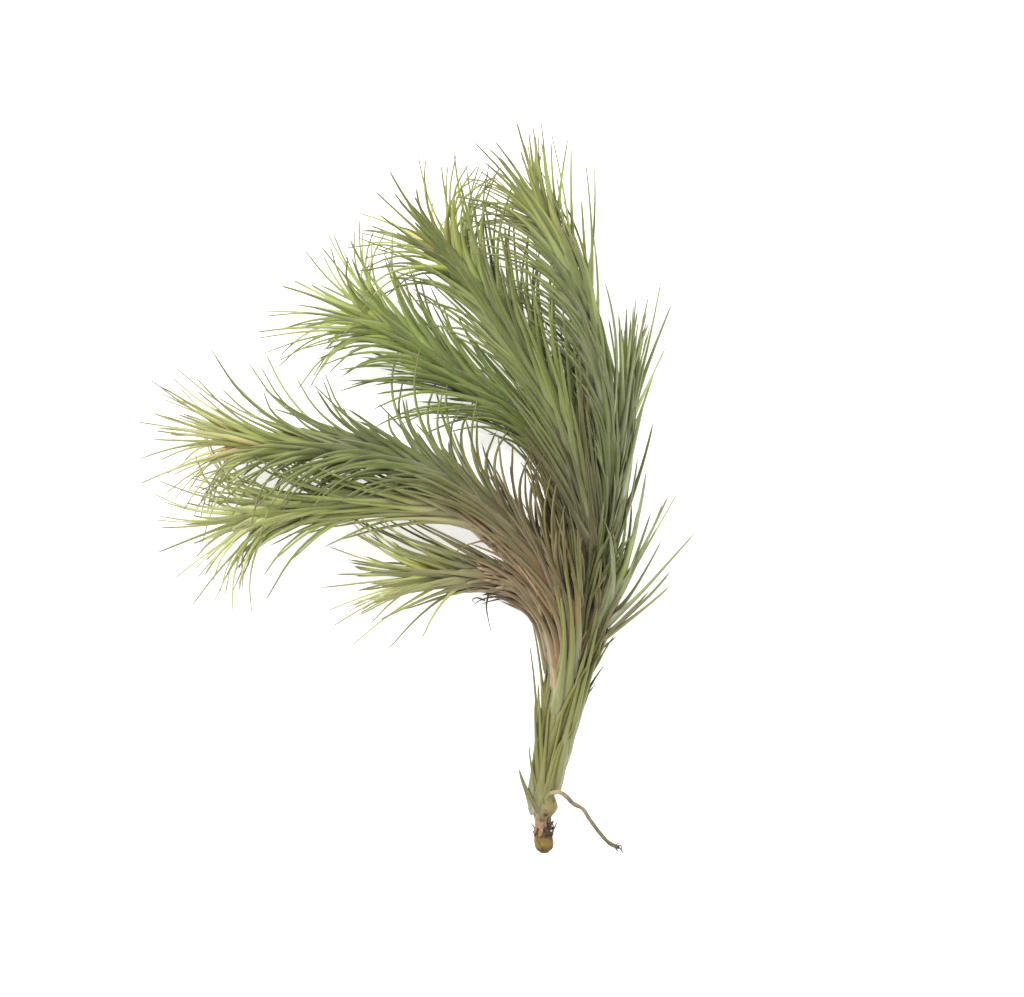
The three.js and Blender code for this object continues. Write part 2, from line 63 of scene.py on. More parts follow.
LOG = logging.getLogger("clump")
MM = 0.001
BODY = "root"
GOLDEN_ANGLE = math.pi * (3 - math.sqrt(5))
GOLDEN_SHARE = 0.618
TABLE_CLEARANCE = 0.05 * MM
UP = np.array((0.0, 0.0, 1.0))
TINY = 1e-12

ROOT_RADIUS = 0.6 * MM
ROOT_ROUTE = (
    (40.5, -91.5, 6.5), (43.6, -90.8, 9.2), (45.8, -92, 9), (47.9, -94.3, 7.5),
    (50.9, -96.1, 6), (53.2, -99.5, 4.5), (55.9, -103.3, 3), (58.9, -106.6, 1.6),
    (61.9, -108.1, 0.75),
)


def unit(vectors: Array) -> Array:
    """Vectors along the last axis, each made one long."""
    length = np.linalg.norm(vectors, axis=-1, keepdims=True)
    return vectors / np.maximum(length, TINY)


def smooth(values: Array | float, low: float, high: float) -> Array:
    """A soft step from 0 at low to 1 at high."""
    part = np.clip((np.asarray(values, float) - low) / (high - low), 0, 1)
    return part * part * (3 - 2 * part)


def blend(first: Array | float, second: Array | float, part: Array | float) -> Array:
    """The value that lies the given part of the way from the first to the second."""
    return np.asarray(first) + (np.asarray(second) - np.asarray(first)) * part


def even_steps(part: Array, values: Sequence[float]) -> Array:
    """The values at some places from 0 to 1, between values that stand at even steps."""
    return np.interp(part, np.linspace(0, 1, len(values)), values)


def rows_at(where: Array, places: Array, rows: Array) -> Array:
    """The rows of values at some places, between rows that stand at known places."""
    return np.stack([np.interp(where, places, column) for column in rows.T], 1)


def toward(first: Array, second: Array, angle: Array) -> Array:
    """The directions that lie an angle away from the first ones, towards the second."""
    return first * np.cos(angle)[..., None] + second * np.sin(angle)[..., None]


def kept_above(points: Array, height: float = TABLE_CLEARANCE) -> Array:
    """Lifts points that lie lower than a height over the table to it.

    Args:
        points: The points, as rows of xyz.
        height: The height in metres.

    Returns:
        The points, with the lowest lifted.
    """
    raised = points.copy()
    raised[..., 2] = np.maximum(raised[..., 2], height)
    return raised


def colour(red: int, green: int, blue: int) -> tuple[float, float, float, float]:
    """A linear colour from display values of 0 to 255.

    Args:
        red: The red display value.
        green: The green display value.
        blue: The blue display value.

    Returns:
        The linear red, green, blue and alpha.
    """
    shown = np.array([red, green, blue]) / 255
    linear = np.where(shown <= 0.04045, shown / 12.92, ((shown + 0.055) / 1.055) ** 2.4)
    return (*linear.tolist(), 1.0)


def routes_shift() -> Array:
    """The move from the routes' own grid to the frame, found at the root's free end.

    Returns:
        The move in metres.
    """
    low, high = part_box("wiry_root")
    end = np.array(ROOT_ROUTE[-1]) * MM
    heading = unit(end - np.array(ROOT_ROUTE[-2]) * MM)
    reach = ROOT_RADIUS * np.sqrt(1 - heading**2)
    return np.array([high.x - end[0] - reach[0], low.y - end[1] + reach[1], 0])


SHIFT = routes_shift()


class Track:
    """A smooth route through points, with even steps and frames that don't twist."""

    def __init__(self, route: Sequence[Triple], step: float) -> None:
        """Lays the track.

        Args:
            route: Its points in millimetres on the routes' grid.
            step: The wanted distance between two places on it, in metres.
        """
        dense = self._curve(np.array(route, float) * MM + SHIFT)
        travelled = np.concatenate(
            [[0], np.cumsum(np.linalg.norm(np.diff(dense, axis=0), axis=1))]
        )
        self.length = float(travelled[-1])
        count = max(2, round(self.length / step))
        self.places = np.linspace(0, self.length, count + 1)
        self.points = rows_at(self.places, travelled, dense)
        self.tangents = unit(np.gradient(self.points, axis=0))
        self.normals = self._untwisted()

    @staticmethod
    def _curve(points: Array, fineness: int = 24) -> Array:
        """A centripetal spline through the points.

        Args:
            points: The points to pass through, in metres.
            fineness: How many steps there are between two of them.

        Returns:
            The points of the spline.
        """
        ends = [2 * points[0] - points[1], 2 * points[-1] - points[-2]]
        all_points = np.vstack([ends[0], points, ends[1]])
        gaps = np.sqrt(np.linalg.norm(np.diff(all_points, axis=0), axis=1))
        part = np.linspace(0, 1, fineness, endpoint=False)[:, None]
        pieces = []
        for i in range(len(points) - 1):
            a, b, c, d = all_points[i:i + 4]
            ab, bc, cd = gaps[i:i + 3]
            leave = ((b - a) / ab - (c - a) / (ab + bc) + (c - b) / bc) * bc
            arrive = ((c - b) / bc - (d - b) / (bc + cd) + (d - c) / cd) * bc
            pieces.append(
                b + leave * part
                + (3 * (c - b) - 2 * leave - arrive) * part**2
                + (2 * (b - c) + leave + arrive) * part**3
            )
        return np.vstack([*pieces, points[-1:]])

    def _untwisted(self) -> Array:
        """Normals carried along the track without twisting.

        Returns:
            One normal for each point.
        """
        normals = [unit(np.cross(self.tangents[0], UP))]
        for tangent in self.tangents[1:]:
            last = normals[-1]
            normals.append(unit(last - tangent * np.dot(last, tangent)))
        return np.array(normals)

    def frames_at(self, distances: Array) -> tuple[Array, Array, Array, Array]:
        """The track's frames at some distances from its foot.

        Args:
            distances: The distances in metres.

        Returns:
            The points, tangents, normals and binormals there.
        """
        points = rows_at(distances, self.places, self.points)
        tangents = unit(rows_at(distances, self.places, self.tangents))
        normals = unit(rows_at(distances, self.places, self.normals))
        return points, tangents, normals, np.cross(tangents, normals)

    def around(self, distances: Array, turns: Array) -> tuple[Array, Array, Array]:
        """The track's middle at some distances, and the way out of it at some turns about it.

        Args:
            distances: The distances in metres.
            turns: The turns in radians: 0 is to the right, a quarter turn towards the camera.

        Returns:
            The points, the way outward at each, and the way round the track at the first.
        """
        points, tangents, _, _ = self.frames_at(distances)
        sideways = unit(np.cross(tangents, UP))
        outward = toward(sideways, np.cross(sideways, tangents), turns)
        return points, outward, np.cross(tangents[0], outward[0])


class Finish(Protocol):
    """What a piece is dressed in."""

    def material(self) -> bpy.types.Material:
        """The finish as nodes."""


@dataclass
class Surface:
    """Corners, faces and painted values that are gathered into one mesh."""

    corners: list[Array] = field(default_factory=list)
    faces: list[list[int]] = field(default_factory=list)
    finishes: list[int] = field(default_factory=list)
    values: dict[str, list[Array]] = field(default_factory=dict)
    size: int = 0

    def add(
        self, corners: Array, faces: Sequence[Sequence[int]], finish: int = 0, **values: Array
    ) -> None:
        """Adds one form.

        Args:
            corners: Its corners, in rows of three.
            faces: The places of each face's corners, anticlockwise seen from outside.
            finish: Which of the piece's finishes it has.
            values: Painted values, one for each corner.
        """
        for name in ("along", "across", "stage", "tone"):
            values.setdefault(name, np.zeros(len(corners)))
        self.corners.append(corners)
        self.faces.extend([[corner + self.size for corner in face] for face in faces])
        self.finishes.extend([finish] * len(faces))
        for name, numbers in values.items():
            self.values.setdefault(name, []).append(np.asarray(numbers, float))
        self.size += len(corners)

    def piece(self, name: str, finishes: Sequence[Finish]) -> bpy.types.Object:
        """Makes the piece.

        Args:
            name: The piece's name.
            finishes: Its finishes, in order.

        Returns:
            The new object, in the scene.
        """
        mesh = bpy.data.meshes.new(name)
        mesh.from_pydata(np.vstack(self.corners).tolist(), [], self.faces)
        mesh.polygons.foreach_set("use_smooth", [True] * len(self.faces))
        mesh.polygons.foreach_set("material_index", self.finishes)
        for label, numbers in self.values.items():
            painted = mesh.attributes.new(label, "FLOAT", "POINT")
            painted.data.foreach_set("value", np.concatenate(numbers).astype(np.float32))
        for finish in finishes:
            mesh.materials.append(finish.material())
        mesh.update()
        piece = bpy.data.objects.new(name, mesh)
        bpy.context.scene.collection.objects.link(piece)
        return piece


def seat(piece: bpy.types.Object, slot: str, *nodes: str) -> bpy.types.Object:
    """Fastens a piece to the clump's body, in place of the solids that it stands for.

    Args:
        piece: The piece to fasten.
        slot: The name of its material slot in the record; not used.
        nodes: The solids that it stands for.

    Returns:
        The same piece.
    """
    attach(piece, BODY)
    if nodes:
        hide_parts(*nodes)
    return piece


class Graph:
    """The nodes of one material, laid out a call at a time."""

    def __init__(self, name: str) -> None:
        """Starts a material with an output and nothing else.

        Args:
            name: The material's name.
        """
        self.material = bpy.data.materials.new(name)
        self.material.use_nodes = True
        self.tree = self.material.node_tree
        self.tree.nodes.clear()
        self.output = self.tree.nodes.new("ShaderNodeOutputMaterial")

    def feed(self, socket: Socket, value: object) -> None:
        """Links a socket to another, or sets its value.

        Args:
            socket: The socket to feed.
            value: Another socket, a number, or a colour's three display values.
        """
        if isinstance(value, Socket):
            self.tree.links.new(value, socket)
        else:
            socket.default_value = colour(*value) if isinstance(value, tuple) else value

    def node(self, kind: str, *values: object, **settings: object) -> bpy.types.Node:
        """A new node.

        Args:
            kind: The node's type.
            values: What its first inputs are fed with, in order.
            settings: Its properties by name.

        Returns:
            The node.
        """
        made = self.tree.nodes.new(kind)
        for name, value in settings.items():
            setattr(made, name, value)
        for socket, value in zip(made.inputs, values, strict=False):
            self.feed(socket, value)
        return made

    def fed(self, kind: str, **inputs: object) -> bpy.types.Node:
        """A new node that is fed by the names of its inputs.

        Args:
            kind: The node's type.
            inputs: What its inputs are fed with, by name, with _ for a space.

        Returns:
            The node.
        """
        made = self.node(kind)
        for name, value in inputs.items():
            self.feed(made.inputs[name.replace("_", " ")], value)
        return made

    def painted(self, name: str) -> Socket:
        """The value painted on the mesh under a name."""
        return self.node("ShaderNodeAttribute", attribute_name=name).outputs["Fac"]

    def place(self) -> Socket:
        """The place on the piece, in metres."""
        return self.node("ShaderNodeTexCoord").outputs["Object"]

    def vector(self, x: object, y: object, z: object) -> Socket:
        """A vector from three sockets or numbers."""
        return self.node("ShaderNodeCombineXYZ", x, y, z).outputs[0]

    def maths(self, operation: str, first: object, second: object = 0.0) -> Socket:
        """One sum on two sockets or numbers."""
        return self.node("ShaderNodeMath", first, second, operation=operation).outputs[0]

    def times(self, first: object, second: object) -> Socket:
        """One value times another."""
        return self.maths("MULTIPLY", first, second)

    def plus(self, first: object, second: object) -> Socket:
        """One value added to another."""
        return self.maths("ADD", first, second)

    def swing(self, value: Socket, reach: float) -> Socket:
        """A value from 0 to 1, made to swing about 0, half the reach to each side."""
        return self.times(self.maths("SUBTRACT", value, 0.5), reach)

    def fit(
        self, value: object, low: float, high: float, start: float = 0, end: float = 1
    ) -> Socket:
        """Spreads a range of values over another, softly at both ends.

        Args:
            value: The value to spread.
            low: Where its range starts.
            high: Where its range ends.
            start: What low becomes.
            end: What high becomes.

        Returns:
            The spread value.
        """
        numbers = (value, low, high, start, end)
        soft = self.node("ShaderNodeMapRange", *numbers, interpolation_type="SMOOTHSTEP")
        return soft.outputs[0]

    def noise(
        self, where: object, scale: float, detail: float = 3, roughness: float = 0.55
    ) -> Socket:
        """A cloudy value from 0 to 1.

        Args:
            where: The place that it is read at.
            scale: How fine it is.
            detail: How many finer layers it has.
            roughness: How strong they are.

        Returns:
            The value.
        """
        cloud = self.fed("ShaderNodeTexNoise", Vector=where, Scale=scale, Detail=detail,
                         Roughness=roughness)
        return cloud.outputs["Fac"]

    def mix(self, factor: object, first: object, second: object) -> Socket:
        """One colour laid over another.

        Args:
            factor: How much of the second colour shows.
            first: The colour below.
            second: The colour above.

        Returns:
            The mixed colour.
        """
        made = self.node("ShaderNodeMix", data_type="RGBA", clamp_factor=True)
        below, above = made.inputs[6:8]
        self.feed(made.inputs["Factor"], factor)
        self.feed(below, first)
        self.feed(above, second)
        return made.outputs[2]

    def ramp(self, factor: object, stops: Stops) -> Socket:
        """A colour that changes along a value.

        Args:
            factor: The value.
            stops: Places from 0 to 1, each with its colour.

        Returns:
            The colour.
        """
        made = self.node("ShaderNodeValToRGB", factor)
        marks = made.color_ramp.elements
        while len(marks) < len(stops):
            marks.new(0.5)
        for mark, (place, shade) in zip(marks, stops, strict=True):
            mark.position = place
            mark.color = colour(*shade)
        return made.outputs["Color"]

    def bump(self, height: object, strength: float, distance: float) -> Socket:
        """A relief too fine to model.

        Args:
            height: Its height, from 0 to 1.
            strength: How much of it shows.
            distance: Its depth in metres.

        Returns:
            The bent normal.
        """
        relief = self.fed("ShaderNodeBump", Strength=strength, Distance=distance, Height=height)
        return relief.outputs["Normal"]

    def surface(self, **inputs: object) -> bpy.types.Material:
        """Closes the graph with its shader.

        Args:
            inputs: What the shader's inputs are fed with, by name, with _ for a space.

        Returns:
            The finished material.
        """
        shader = self.fed("ShaderNodeBsdfPrincipled", **inputs)
        self.feed(self.output.inputs["Surface"], shader.outputs[0])
        return self.material


@dataclass(frozen=True)
class LeafFinish:
    """A living leaf: green flesh under a grey coat of scales, with a fine dry tip.

    The first five colours run along the stem, from its oldest leaves to the youngest, and the
    blades are theirs further out. Leaves with a low tone are darkened towards the shade colours,
    which are painted shade, and both edges of every leaf carry a painted highlight in silver.
    """

    name: str
    oldest: Shade
    older: Shade
    grown: Shade
    young: Shade
    heart: Shade
    old_blade: Shade
    grown_blade: Shade
    young_blade: Shade
    turn_green: float
    silver: Shade = (168, 170, 134)
    # Painted shade: the colours that leaves with a low tone are darkened towards, on grown leaves and
    # on old ones.
    shade: Shade = (54, 62, 18)
    old_shade: Shade = (66, 44, 28)
    dry: Shade = (118, 106, 82)
    scales: float = 0.5
    tip_scales: float = 0.12
    wander: Pair = (0.12, 0.09)
    blade_from: Pair = (0.12, 0.55)
    blade_share: float = 0.9
    dry_from: Pair = (0.84, 1.16)
    dry_age: float = 0.18
    dryness: float = 0.92
    # Painted highlight along both edges of every leaf: where it starts across the leaf, and how strong
    # it is.
    edge: Pair = (0.6, 1)
    edge_highlight: float = 0.3
    relief: float = 0.2 * MM
    matt: Pair = (0.5, 0.64)
    sheen: float = 0.15
    shine: float = 0.3

    def material(self) -> bpy.types.Material:
        """The finish as nodes.

        Returns:
            The material.
        """
        g = Graph(self.name)
        along, stage, tone, across = map(g.painted, ("along", "stage", "tone", "across"))

        def stretched(wide: float, far: float, apart: float) -> Socket:
            """The place on the leaf, stretched, and set apart from leaf to leaf by its tone."""
            return g.vector(g.times(across, wide), g.times(along, far), g.times(tone, apart))

        cloud = g.noise(stretched(3.0, 7.0, 90.0), 1.1)
        coat_cloud = g.noise(stretched(6.0, 60.0, 70.0), 2.4, 4, 0.7)
        ribs = g.noise(stretched(9.0, 1.0, 50.0), 1.0, 2)
        by_cloud, by_leaf = self.wander
        drift = g.plus(stage, g.plus(g.swing(cloud, by_cloud), g.swing(tone, by_leaf)))
        turn, green = self.turn_green * 0.6, self.turn_green + 0.08
        flesh = g.ramp(drift, (
            (0.0, self.oldest), (turn, self.older), (green, self.grown),
            (0.7, self.grown), (0.88, self.young), (0.99, self.heart),
        ))
        blade = g.ramp(drift, (
            (0.0, self.old_blade), (turn, self.old_blade), (green, self.grown_blade),
            (0.68, self.grown_blade), (0.9, self.young_blade),
        ))
        outward = g.mix(g.fit(along, *self.blade_from, 0, self.blade_share), flesh, blade)
        # Painted shade: leaves with a low tone are darkened towards a dark olive shade colour, brown
        # on the oldest leaves, so that they read as shadowed between their neighbours.
        depth = g.mix(g.fit(drift, turn, self.turn_green + 0.06), self.old_shade, self.shade)
        with_painted_shade = g.mix(g.fit(tone, 0.0, 0.55, 0.5, 0), outward, depth)
        # The coat of scales is cloudy, and thins to the tip, on the oldest leaves and on the leaves
        # with a low tone, which painted shade darkens.
        coat = g.fit(coat_cloud, 0.3, 0.7, 0.3, 1)
        for share in (
            g.fit(along, 0.05, 0.6, self.scales, self.scales * self.tip_scales),
            g.fit(stage, 0.0, 0.3, 0.55, 1),
            g.fit(tone, 0.25, 1.0, 0.6, 1.5),
            g.fit(cloud, 0.36, 0.64, 0.45, 1.4),
        ):
            coat = g.times(coat, share)
        coated = g.mix(coat, with_painted_shade, self.silver)
        # Painted highlight: a silver rim lightens both edges of every leaf.
        highlight_rim = g.fit(g.maths("ABSOLUTE", across), *self.edge, 0, self.edge_highlight)
        highlighted = g.mix(highlight_rim, coated, self.silver)
        aged = g.plus(along, g.times(stage, self.dry_age))
        dried = g.fit(aged, *self.dry_from, 0, self.dryness)
        relief = g.bump(g.plus(ribs, g.times(coat_cloud, 0.6)), 0.35, self.relief)
        return g.surface(
            Base_Color=g.mix(dried, highlighted, self.dry), Roughness=g.fit(cloud, 0.3, 0.7, *self.matt),
            Normal=relief, Sheen_Weight=self.sheen, Sheen_Roughness=0.5,
            Specular_IOR_Level=self.shine,
        )


@dataclass(frozen=True)
class BarkFinish:
    """Dry wood or root skin, with colours along it, mottled, streaked and pitted."""

    name: str
    stops: Stops
    pale: Shade
    dark: Shade
    paleness: float = 0.6
    darkness: float = 0.7
    fineness: float = 900
    mottling: float = 0.35
    wander: float = 0.12
    depth: float = 0.35 * MM
    matt: Pair = (0.55, 0.8)
    shine: float = 0.35

    def material(self) -> bpy.types.Material:
        """The finish as nodes.

        Returns:
            The material.
        """
        g = Graph(self.name)
        where = g.place()
        mottle = g.noise(where, self.fineness * self.mottling, 5, 0.6)
        streak = g.noise(where, self.fineness, 4, 0.65)
        body = g.ramp(g.plus(g.painted("along"), g.swing(mottle, self.wander)), self.stops)
        lit = g.mix(g.fit(streak, 0.5, 0.72, 0, self.paleness), body, self.pale)
        worn = g.mix(g.fit(mottle, 0.5, 0.34, 0, self.darkness), lit, self.dark)
        relief = g.bump(g.plus(mottle, streak), 0.6, self.depth)
        return g.surface(Base_Color=worn, Roughness=g.fit(streak, 0.3, 0.7, *self.matt),
                         Normal=relief, Specular_IOR_Level=self.shine)


@dataclass(frozen=True)
class FloorFinish:
    """A matt white studio floor."""

    name: str = "white_floor"
    light: Shade = (250, 250, 250)
    dark: Shade = (246, 246, 246)
    glow: float = 0.6

    def material(self) -> bpy.types.Material:
        """The finish as nodes.

        Returns:
            The material.
        """
        g = Graph(self.name)
        cloud = g.noise(g.place(), 3.0, 2)
        shade = g.mix(g.fit(cloud, 0.35, 0.65), self.light, self.dark)
        return g.surface(
            Base_Color=shade, Roughness=0.9, Normal=g.bump(cloud, 0.05, 1 * MM),
            Specular_IOR_Level=0.1, Emission_Color=self.light, Emission_Strength=self.glow,
        )


@dataclass(frozen=True)
class Blade:
    """The form of one leaf: a channelled blade that narrows to a hair."""

    length: float = 43 * MM
    width: float = 1.2 * MM
    sheath: float = 3.7 * MM
    sheath_reach: float = 0.31
    thickness: float = 1.0 * MM
    taper: float = 0.45
    thinning: float = 0.55
    channel: float = 0.3
    clasp: float = 0.25
    clasp_reach: float = 0.12
    hair: float = 0.27 * MM
    hair_depth: float = 0.7
    steps: int = 12
    section: tuple[Triple, ...] = (
        (-1.0, 0.0, 1.0), (-0.55, 0.45, 0.3), (0.0, 0.5, 0.0),
        (0.55, 0.45, 0.3), (1.0, 0.0, 1.0), (0.0, -0.5, 0.0),
    )

    def half_width(self, along: Array) -> Array:
        """Half the blade's width, from its foot to its tip."""
        foot = self.sheath * np.exp(-((along / self.sheath_reach) ** 2))
        return 0.5 * (self.width * (1 - along) ** self.taper + foot + self.hair)

    def corners(self, lines: Array, sides: Array, twist: Array, size: Array) -> Array:
        """The corners of many leaves.

        Args:
            lines: The middle line of each leaf, as leaf, place, xyz.
            sides: The way across each leaf at its foot.
            twist: How far each leaf turns about its line by its tip, in radians.
            size: How wide each leaf is, as a share.

        Returns:
            Corners as leaf, corner, xyz, with the rings in turn and the tip last.
        """
        count = self.steps
        along = np.linspace(0, 1, count + 1)[None, :, None]
        tangents = unit(np.gradient(lines, axis=1))
        across = sides[:, None, :]
        across = unit(across - tangents * np.sum(across * tangents, -1, keepdims=True))
        outward = np.cross(across, tangents)
        turn = twist[:, None] * along[..., 0]
        turned = toward(across, outward, turn)
        facing = toward(outward, -across, turn)
        half = self.half_width(along) * size[:, None, None]
        deep = self.thickness * (1 - along) ** self.thinning + self.hair_depth * self.hair
        deep = deep * size[:, None, None]
        bend = half * (self.channel + self.clasp * np.exp(-((along / self.clasp_reach) ** 2)))
        rings = [
            lines + turned * half * x + facing * (deep * y - bend * edge)
            for x, y, edge in self.section
        ]
        body = np.stack(rings, 2)[:, :count].reshape(len(lines), -1, 3)
        return np.concatenate([body, lines[:, -1:]], 1)

    def faces(self) -> list[list[int]]:
        """The faces of one leaf, as places in its corners.

        Returns:
            The faces, with the foot's cap first.
        """
        sides = len(self.section)
        tip = sides * self.steps
        faces = [list(range(sides))]
        for ring in range(self.steps - 1):
            for side in range(sides):
                low, turn = ring * sides, (side + 1) % sides
                faces.append([low + side, low + sides + side, low + sides + turn, low + turn])
        low = sides * (self.steps - 1)
        faces.extend([low + side, tip, low + (side + 1) % sides] for side in range(sides))
        return faces

    def painted(self, count: int) -> tuple[Array, Array]:
        """Where each corner lies along and across its leaf.

        Args:
            count: How many leaves there are.

        Returns:
            The places along, from 0 to 1, and across, from -1 to 1.
        """
        sides = len(self.section)
        along = np.append(np.repeat(np.arange(self.steps), sides) / self.steps, 1.0)
        across = np.append(np.tile([x for x, _, _ in self.section], self.steps), 0.0)
        return np.tile(along, count), np.tile(across, count)

    def add_to(
        self, surface: Surface, lines: Array, sides: Array, twist: Array, size: Array,
        finish: int = 0, **own: Array,
    ) -> None:
        """Adds leaves to a piece.

        Args:
            surface: Where they go.
            lines: The middle line of each leaf, as leaf, place, xyz.
            sides: The way across each leaf at its foot.
            twist: How far each leaf turns about its line by its tip, in radians.
            size: How wide each leaf is, as a share.
            finish: Which of the piece's finishes they have.
            own: Painted values, one for each leaf.
        """
        corners = kept_above(self.corners(lines, sides, twist, size))
        count, each = corners.shape[:2]
        along, across = self.painted(count)
        one = self.faces()
        faces = [[corner + leaf * each for corner in face] for leaf in range(count) for face in one]
        values = {name: np.repeat(numbers, each) for name, numbers in own.items()}
        surface.add(corners.reshape(-1, 3), faces, finish, along=along, across=across, **values)


@dataclass(frozen=True)
class Stray:
    """One leaf laid along a listed route where it shows, from its foot to its tip, in millimetres.

    Its stage is the age that it is coloured by, from 0 for the oldest leaves to 1, and a tone
    below 0.55 darkens it with painted shade, most at 0.
    """

    route: Sequence[Triple]
    stage: float = 0.1
    tone: float = 0.8
    size: float = 1.0

    def line(self, steps: int) -> Array:
        """The leaf's middle line, in even steps."""
        track = Track(self.route, 1 * MM)
        return track.frames_at(np.linspace(0, track.length, steps + 1))[0]


@dataclass(frozen=True)
class Scatter:
    """How much the leaves of one stem differ: a pair is the least and the greatest share."""

    opening: Pair = (0.45, 1.2)
    length: Pair = (0.78, 1.06)
    rise: Pair = (0.7, 1.2)
    bend: Pair = (0.9, 1.3)
    size: Pair = (0.88, 1.1)
    sway: float = 0.16
    twist: float = 0.35
    turn: float = 0.12


@dataclass
class LeafyStem:
    """One stem with all its leaves, in the place of its solid.

    Its leaves open to the angles of left and right on its two sides, and lean by lean: each has
    values at even steps up the stem. Angles are in degrees, routes and tips in millimetres.
    """

    name: str
    finish: LeafFinish
    slot: str
    route: Sequence[Triple]
    left: tuple[float, ...]
    right: tuple[float, ...]
    lean: tuple[Triple, ...]
    rise: Pair
    closed: float = 1.0
    lead: Sequence[Triple] = ()
    foot_radius: float = 1.9 * MM
    radius: float = 1.9 * MM
    tip_radius: float = 0.9 * MM
    narrowing: Pair = (0.8, 1)
    slimming: float = 1.6
    leaf_depth: float = 0.8
    hidden_share: float = 0.4
    hidden_until: Pair = (-6 * MM, 18 * MM)
    bare_foot: float = 0.5 * MM
    bare_tip: float = 0.3 * MM
    bare: Pair = (0.0, 0.0)
    short_foot: float = 0.0
    foot_spacing: float = 0.62 * MM
    spacing: float = 0.56 * MM
    spaced_from: Pair = (45 * MM, 80 * MM)
    tip_spacing: float = 0.32 * MM
    crowded_tip: Pair = (4 * MM, 22 * MM)
    blade: Blade = Blade()
    scatter: Scatter = Scatter()
    hold: Pair = (0.3, 0.15)
    spread_by: float = 0.8
    least_opening: float = 5
    young: Pair = (-3 * MM, 18 * MM)
    tip_share: float = 0.62
    tip_rise: float = 0.5
    tip_rise_reach: float = 1.3 * 18 * MM
    foot_from: float = -20 * MM
    foot_share: float = 0.4
    tips: Sequence[Pair] = ()
    comb: float = 7 * MM
    pull: float = 16 * MM
    pulled_share: float = 0.5
    bow: float = 1.15
    follow: float = 0.7
    broad_foot: float = 1.0
    broad_until: Pair = (0.1, 0.45)
    slim_tip: float = 0.78
    slim_from: Pair = (0.55, 0.95)
    strays: Sequence[Stray] = ()
    sheaths: "DrySheaths | None" = None
    track_step: float = 1.5 * MM
    seed: int = 1

    def __post_init__(self) -> None:
        """Lays the stem's track, with its lead up the stem that bears it, and starts its draw."""
        self.track = Track((*self.lead, *self.route), self.track_step)
        own = np.array(self.route[0]) * MM + SHIFT
        nearest = int(np.argmin(np.linalg.norm(self.track.points - own, axis=1)))
        self.foot = float(self.track.places[nearest])
        self.draw = np.random.default_rng(self.seed)

    def part_at(self, distance: Array) -> Array:
        """How far up the stem's own length some distances along the track are, from 0 to 1."""
        return np.clip((distance - self.foot) / (self.track.length - self.foot), 0, 1)

    def core_radius(self, distance: Array) -> Array:
        """The radius of the bare stem.

        Args:
            distance: Distances along its track, in metres.

        Returns:
            The radius at each.
        """
        part = self.part_at(distance)
        full = blend(self.foot_radius, self.radius, np.minimum(1, part * self.slimming))
        full = full * blend(self.hidden_share, 1, smooth(distance - self.foot, *self.hidden_until))
        return blend(full, self.tip_radius, smooth(part, *self.narrowing))

    def spread_at(self, part: Array, tangents: Array, outward: Array) -> Array:
        """How far leaves spread, from the angles on the stem's left and right sides.

        Args:
            part: How far up the stem each leaf grows, from 0 to 1.
            tangents: The stem's heading there.
            outward: Which way each leaf faces.

        Returns:
            The angles from the stem in degrees.
        """
        leftward = unit(np.cross(UP, tangents))
        share = 0.5 + 0.5 * np.sum(outward * leftward, -1)
        return blend(even_steps(part, self.right), even_steps(part, self.left), share)

    def leaf_lines(self, distance: Array, azimuth: Array) -> tuple[Array, Array]:
        """The middle lines of the stem's leaves.

        Args:
            distance: How far from the stem's foot each leaf grows.
            azimuth: Which way round the stem it faces.

        Returns:
            The lines as leaf, place, xyz, and the way across each leaf at its foot.
        """
        count, steps = len(distance), self.blade.steps
        pick, scatter = self.draw.uniform, self.scatter
        part = self.part_at(distance)
        points, tangents, normals, binormals = self.track.frames_at(distance)
        outward = toward(normals, binormals, azimuth)
        sides = np.cross(tangents, outward)
        to_tip = self.track.length - distance
        young = smooth(to_tip, *self.young)
        foot = smooth(distance, self.foot_from, self.short_foot) if self.short_foot else 1.0
        opening = self.spread_at(part, tangents, outward) * blend(self.closed, 1, young)
        opening = np.maximum(self.least_opening, opening * pick(*scatter.opening, count))
        wanted = np.radians(opening)
        length = self.blade.length * blend(self.tip_share, 1, young)
        length = length * blend(self.foot_share, 1, foot) * pick(*scatter.length, count)
        rise = np.radians(blend(*self.rise, part))
        rise = blend(wanted * self.tip_rise, rise, smooth(to_tip, 0, self.tip_rise_reach))
        rise = np.minimum(rise * pick(*scatter.rise, count), wanted)
        lean = rows_at(part, np.linspace(0, 1, len(self.lean)), np.array(self.lean))
        sway = self.draw.normal(0, scatter.sway, count)
        middle = (np.arange(steps) + 0.5) / steps
        bend = pick(*scatter.bend, count)
        hold = blend(*self.hold, part)[:, None]
        held = np.clip((middle[None] - hold) / (self.spread_by - hold), 0, 1)
        angle = blend(rise[:, None], wanted[:, None], held ** bend[:, None])
        travelled = distance.copy()
        line = [points + outward * (self.core_radius(distance) * self.leaf_depth)[:, None]]
        for step in range(steps):
            _, ahead, normals, binormals = self.track.frames_at(travelled)
            heading = toward(ahead, toward(normals, binormals, azimuth), angle[:, step])
            heading = unit(heading + (lean + sides * sway[:, None]) * middle[step])
            line.append(line[-1] + heading * (length / steps)[:, None])
            travelled = travelled + self.follow * length / steps * np.cos(angle[:, step])
        return self.above_table(self.combed(np.stack(line, 1))), sides

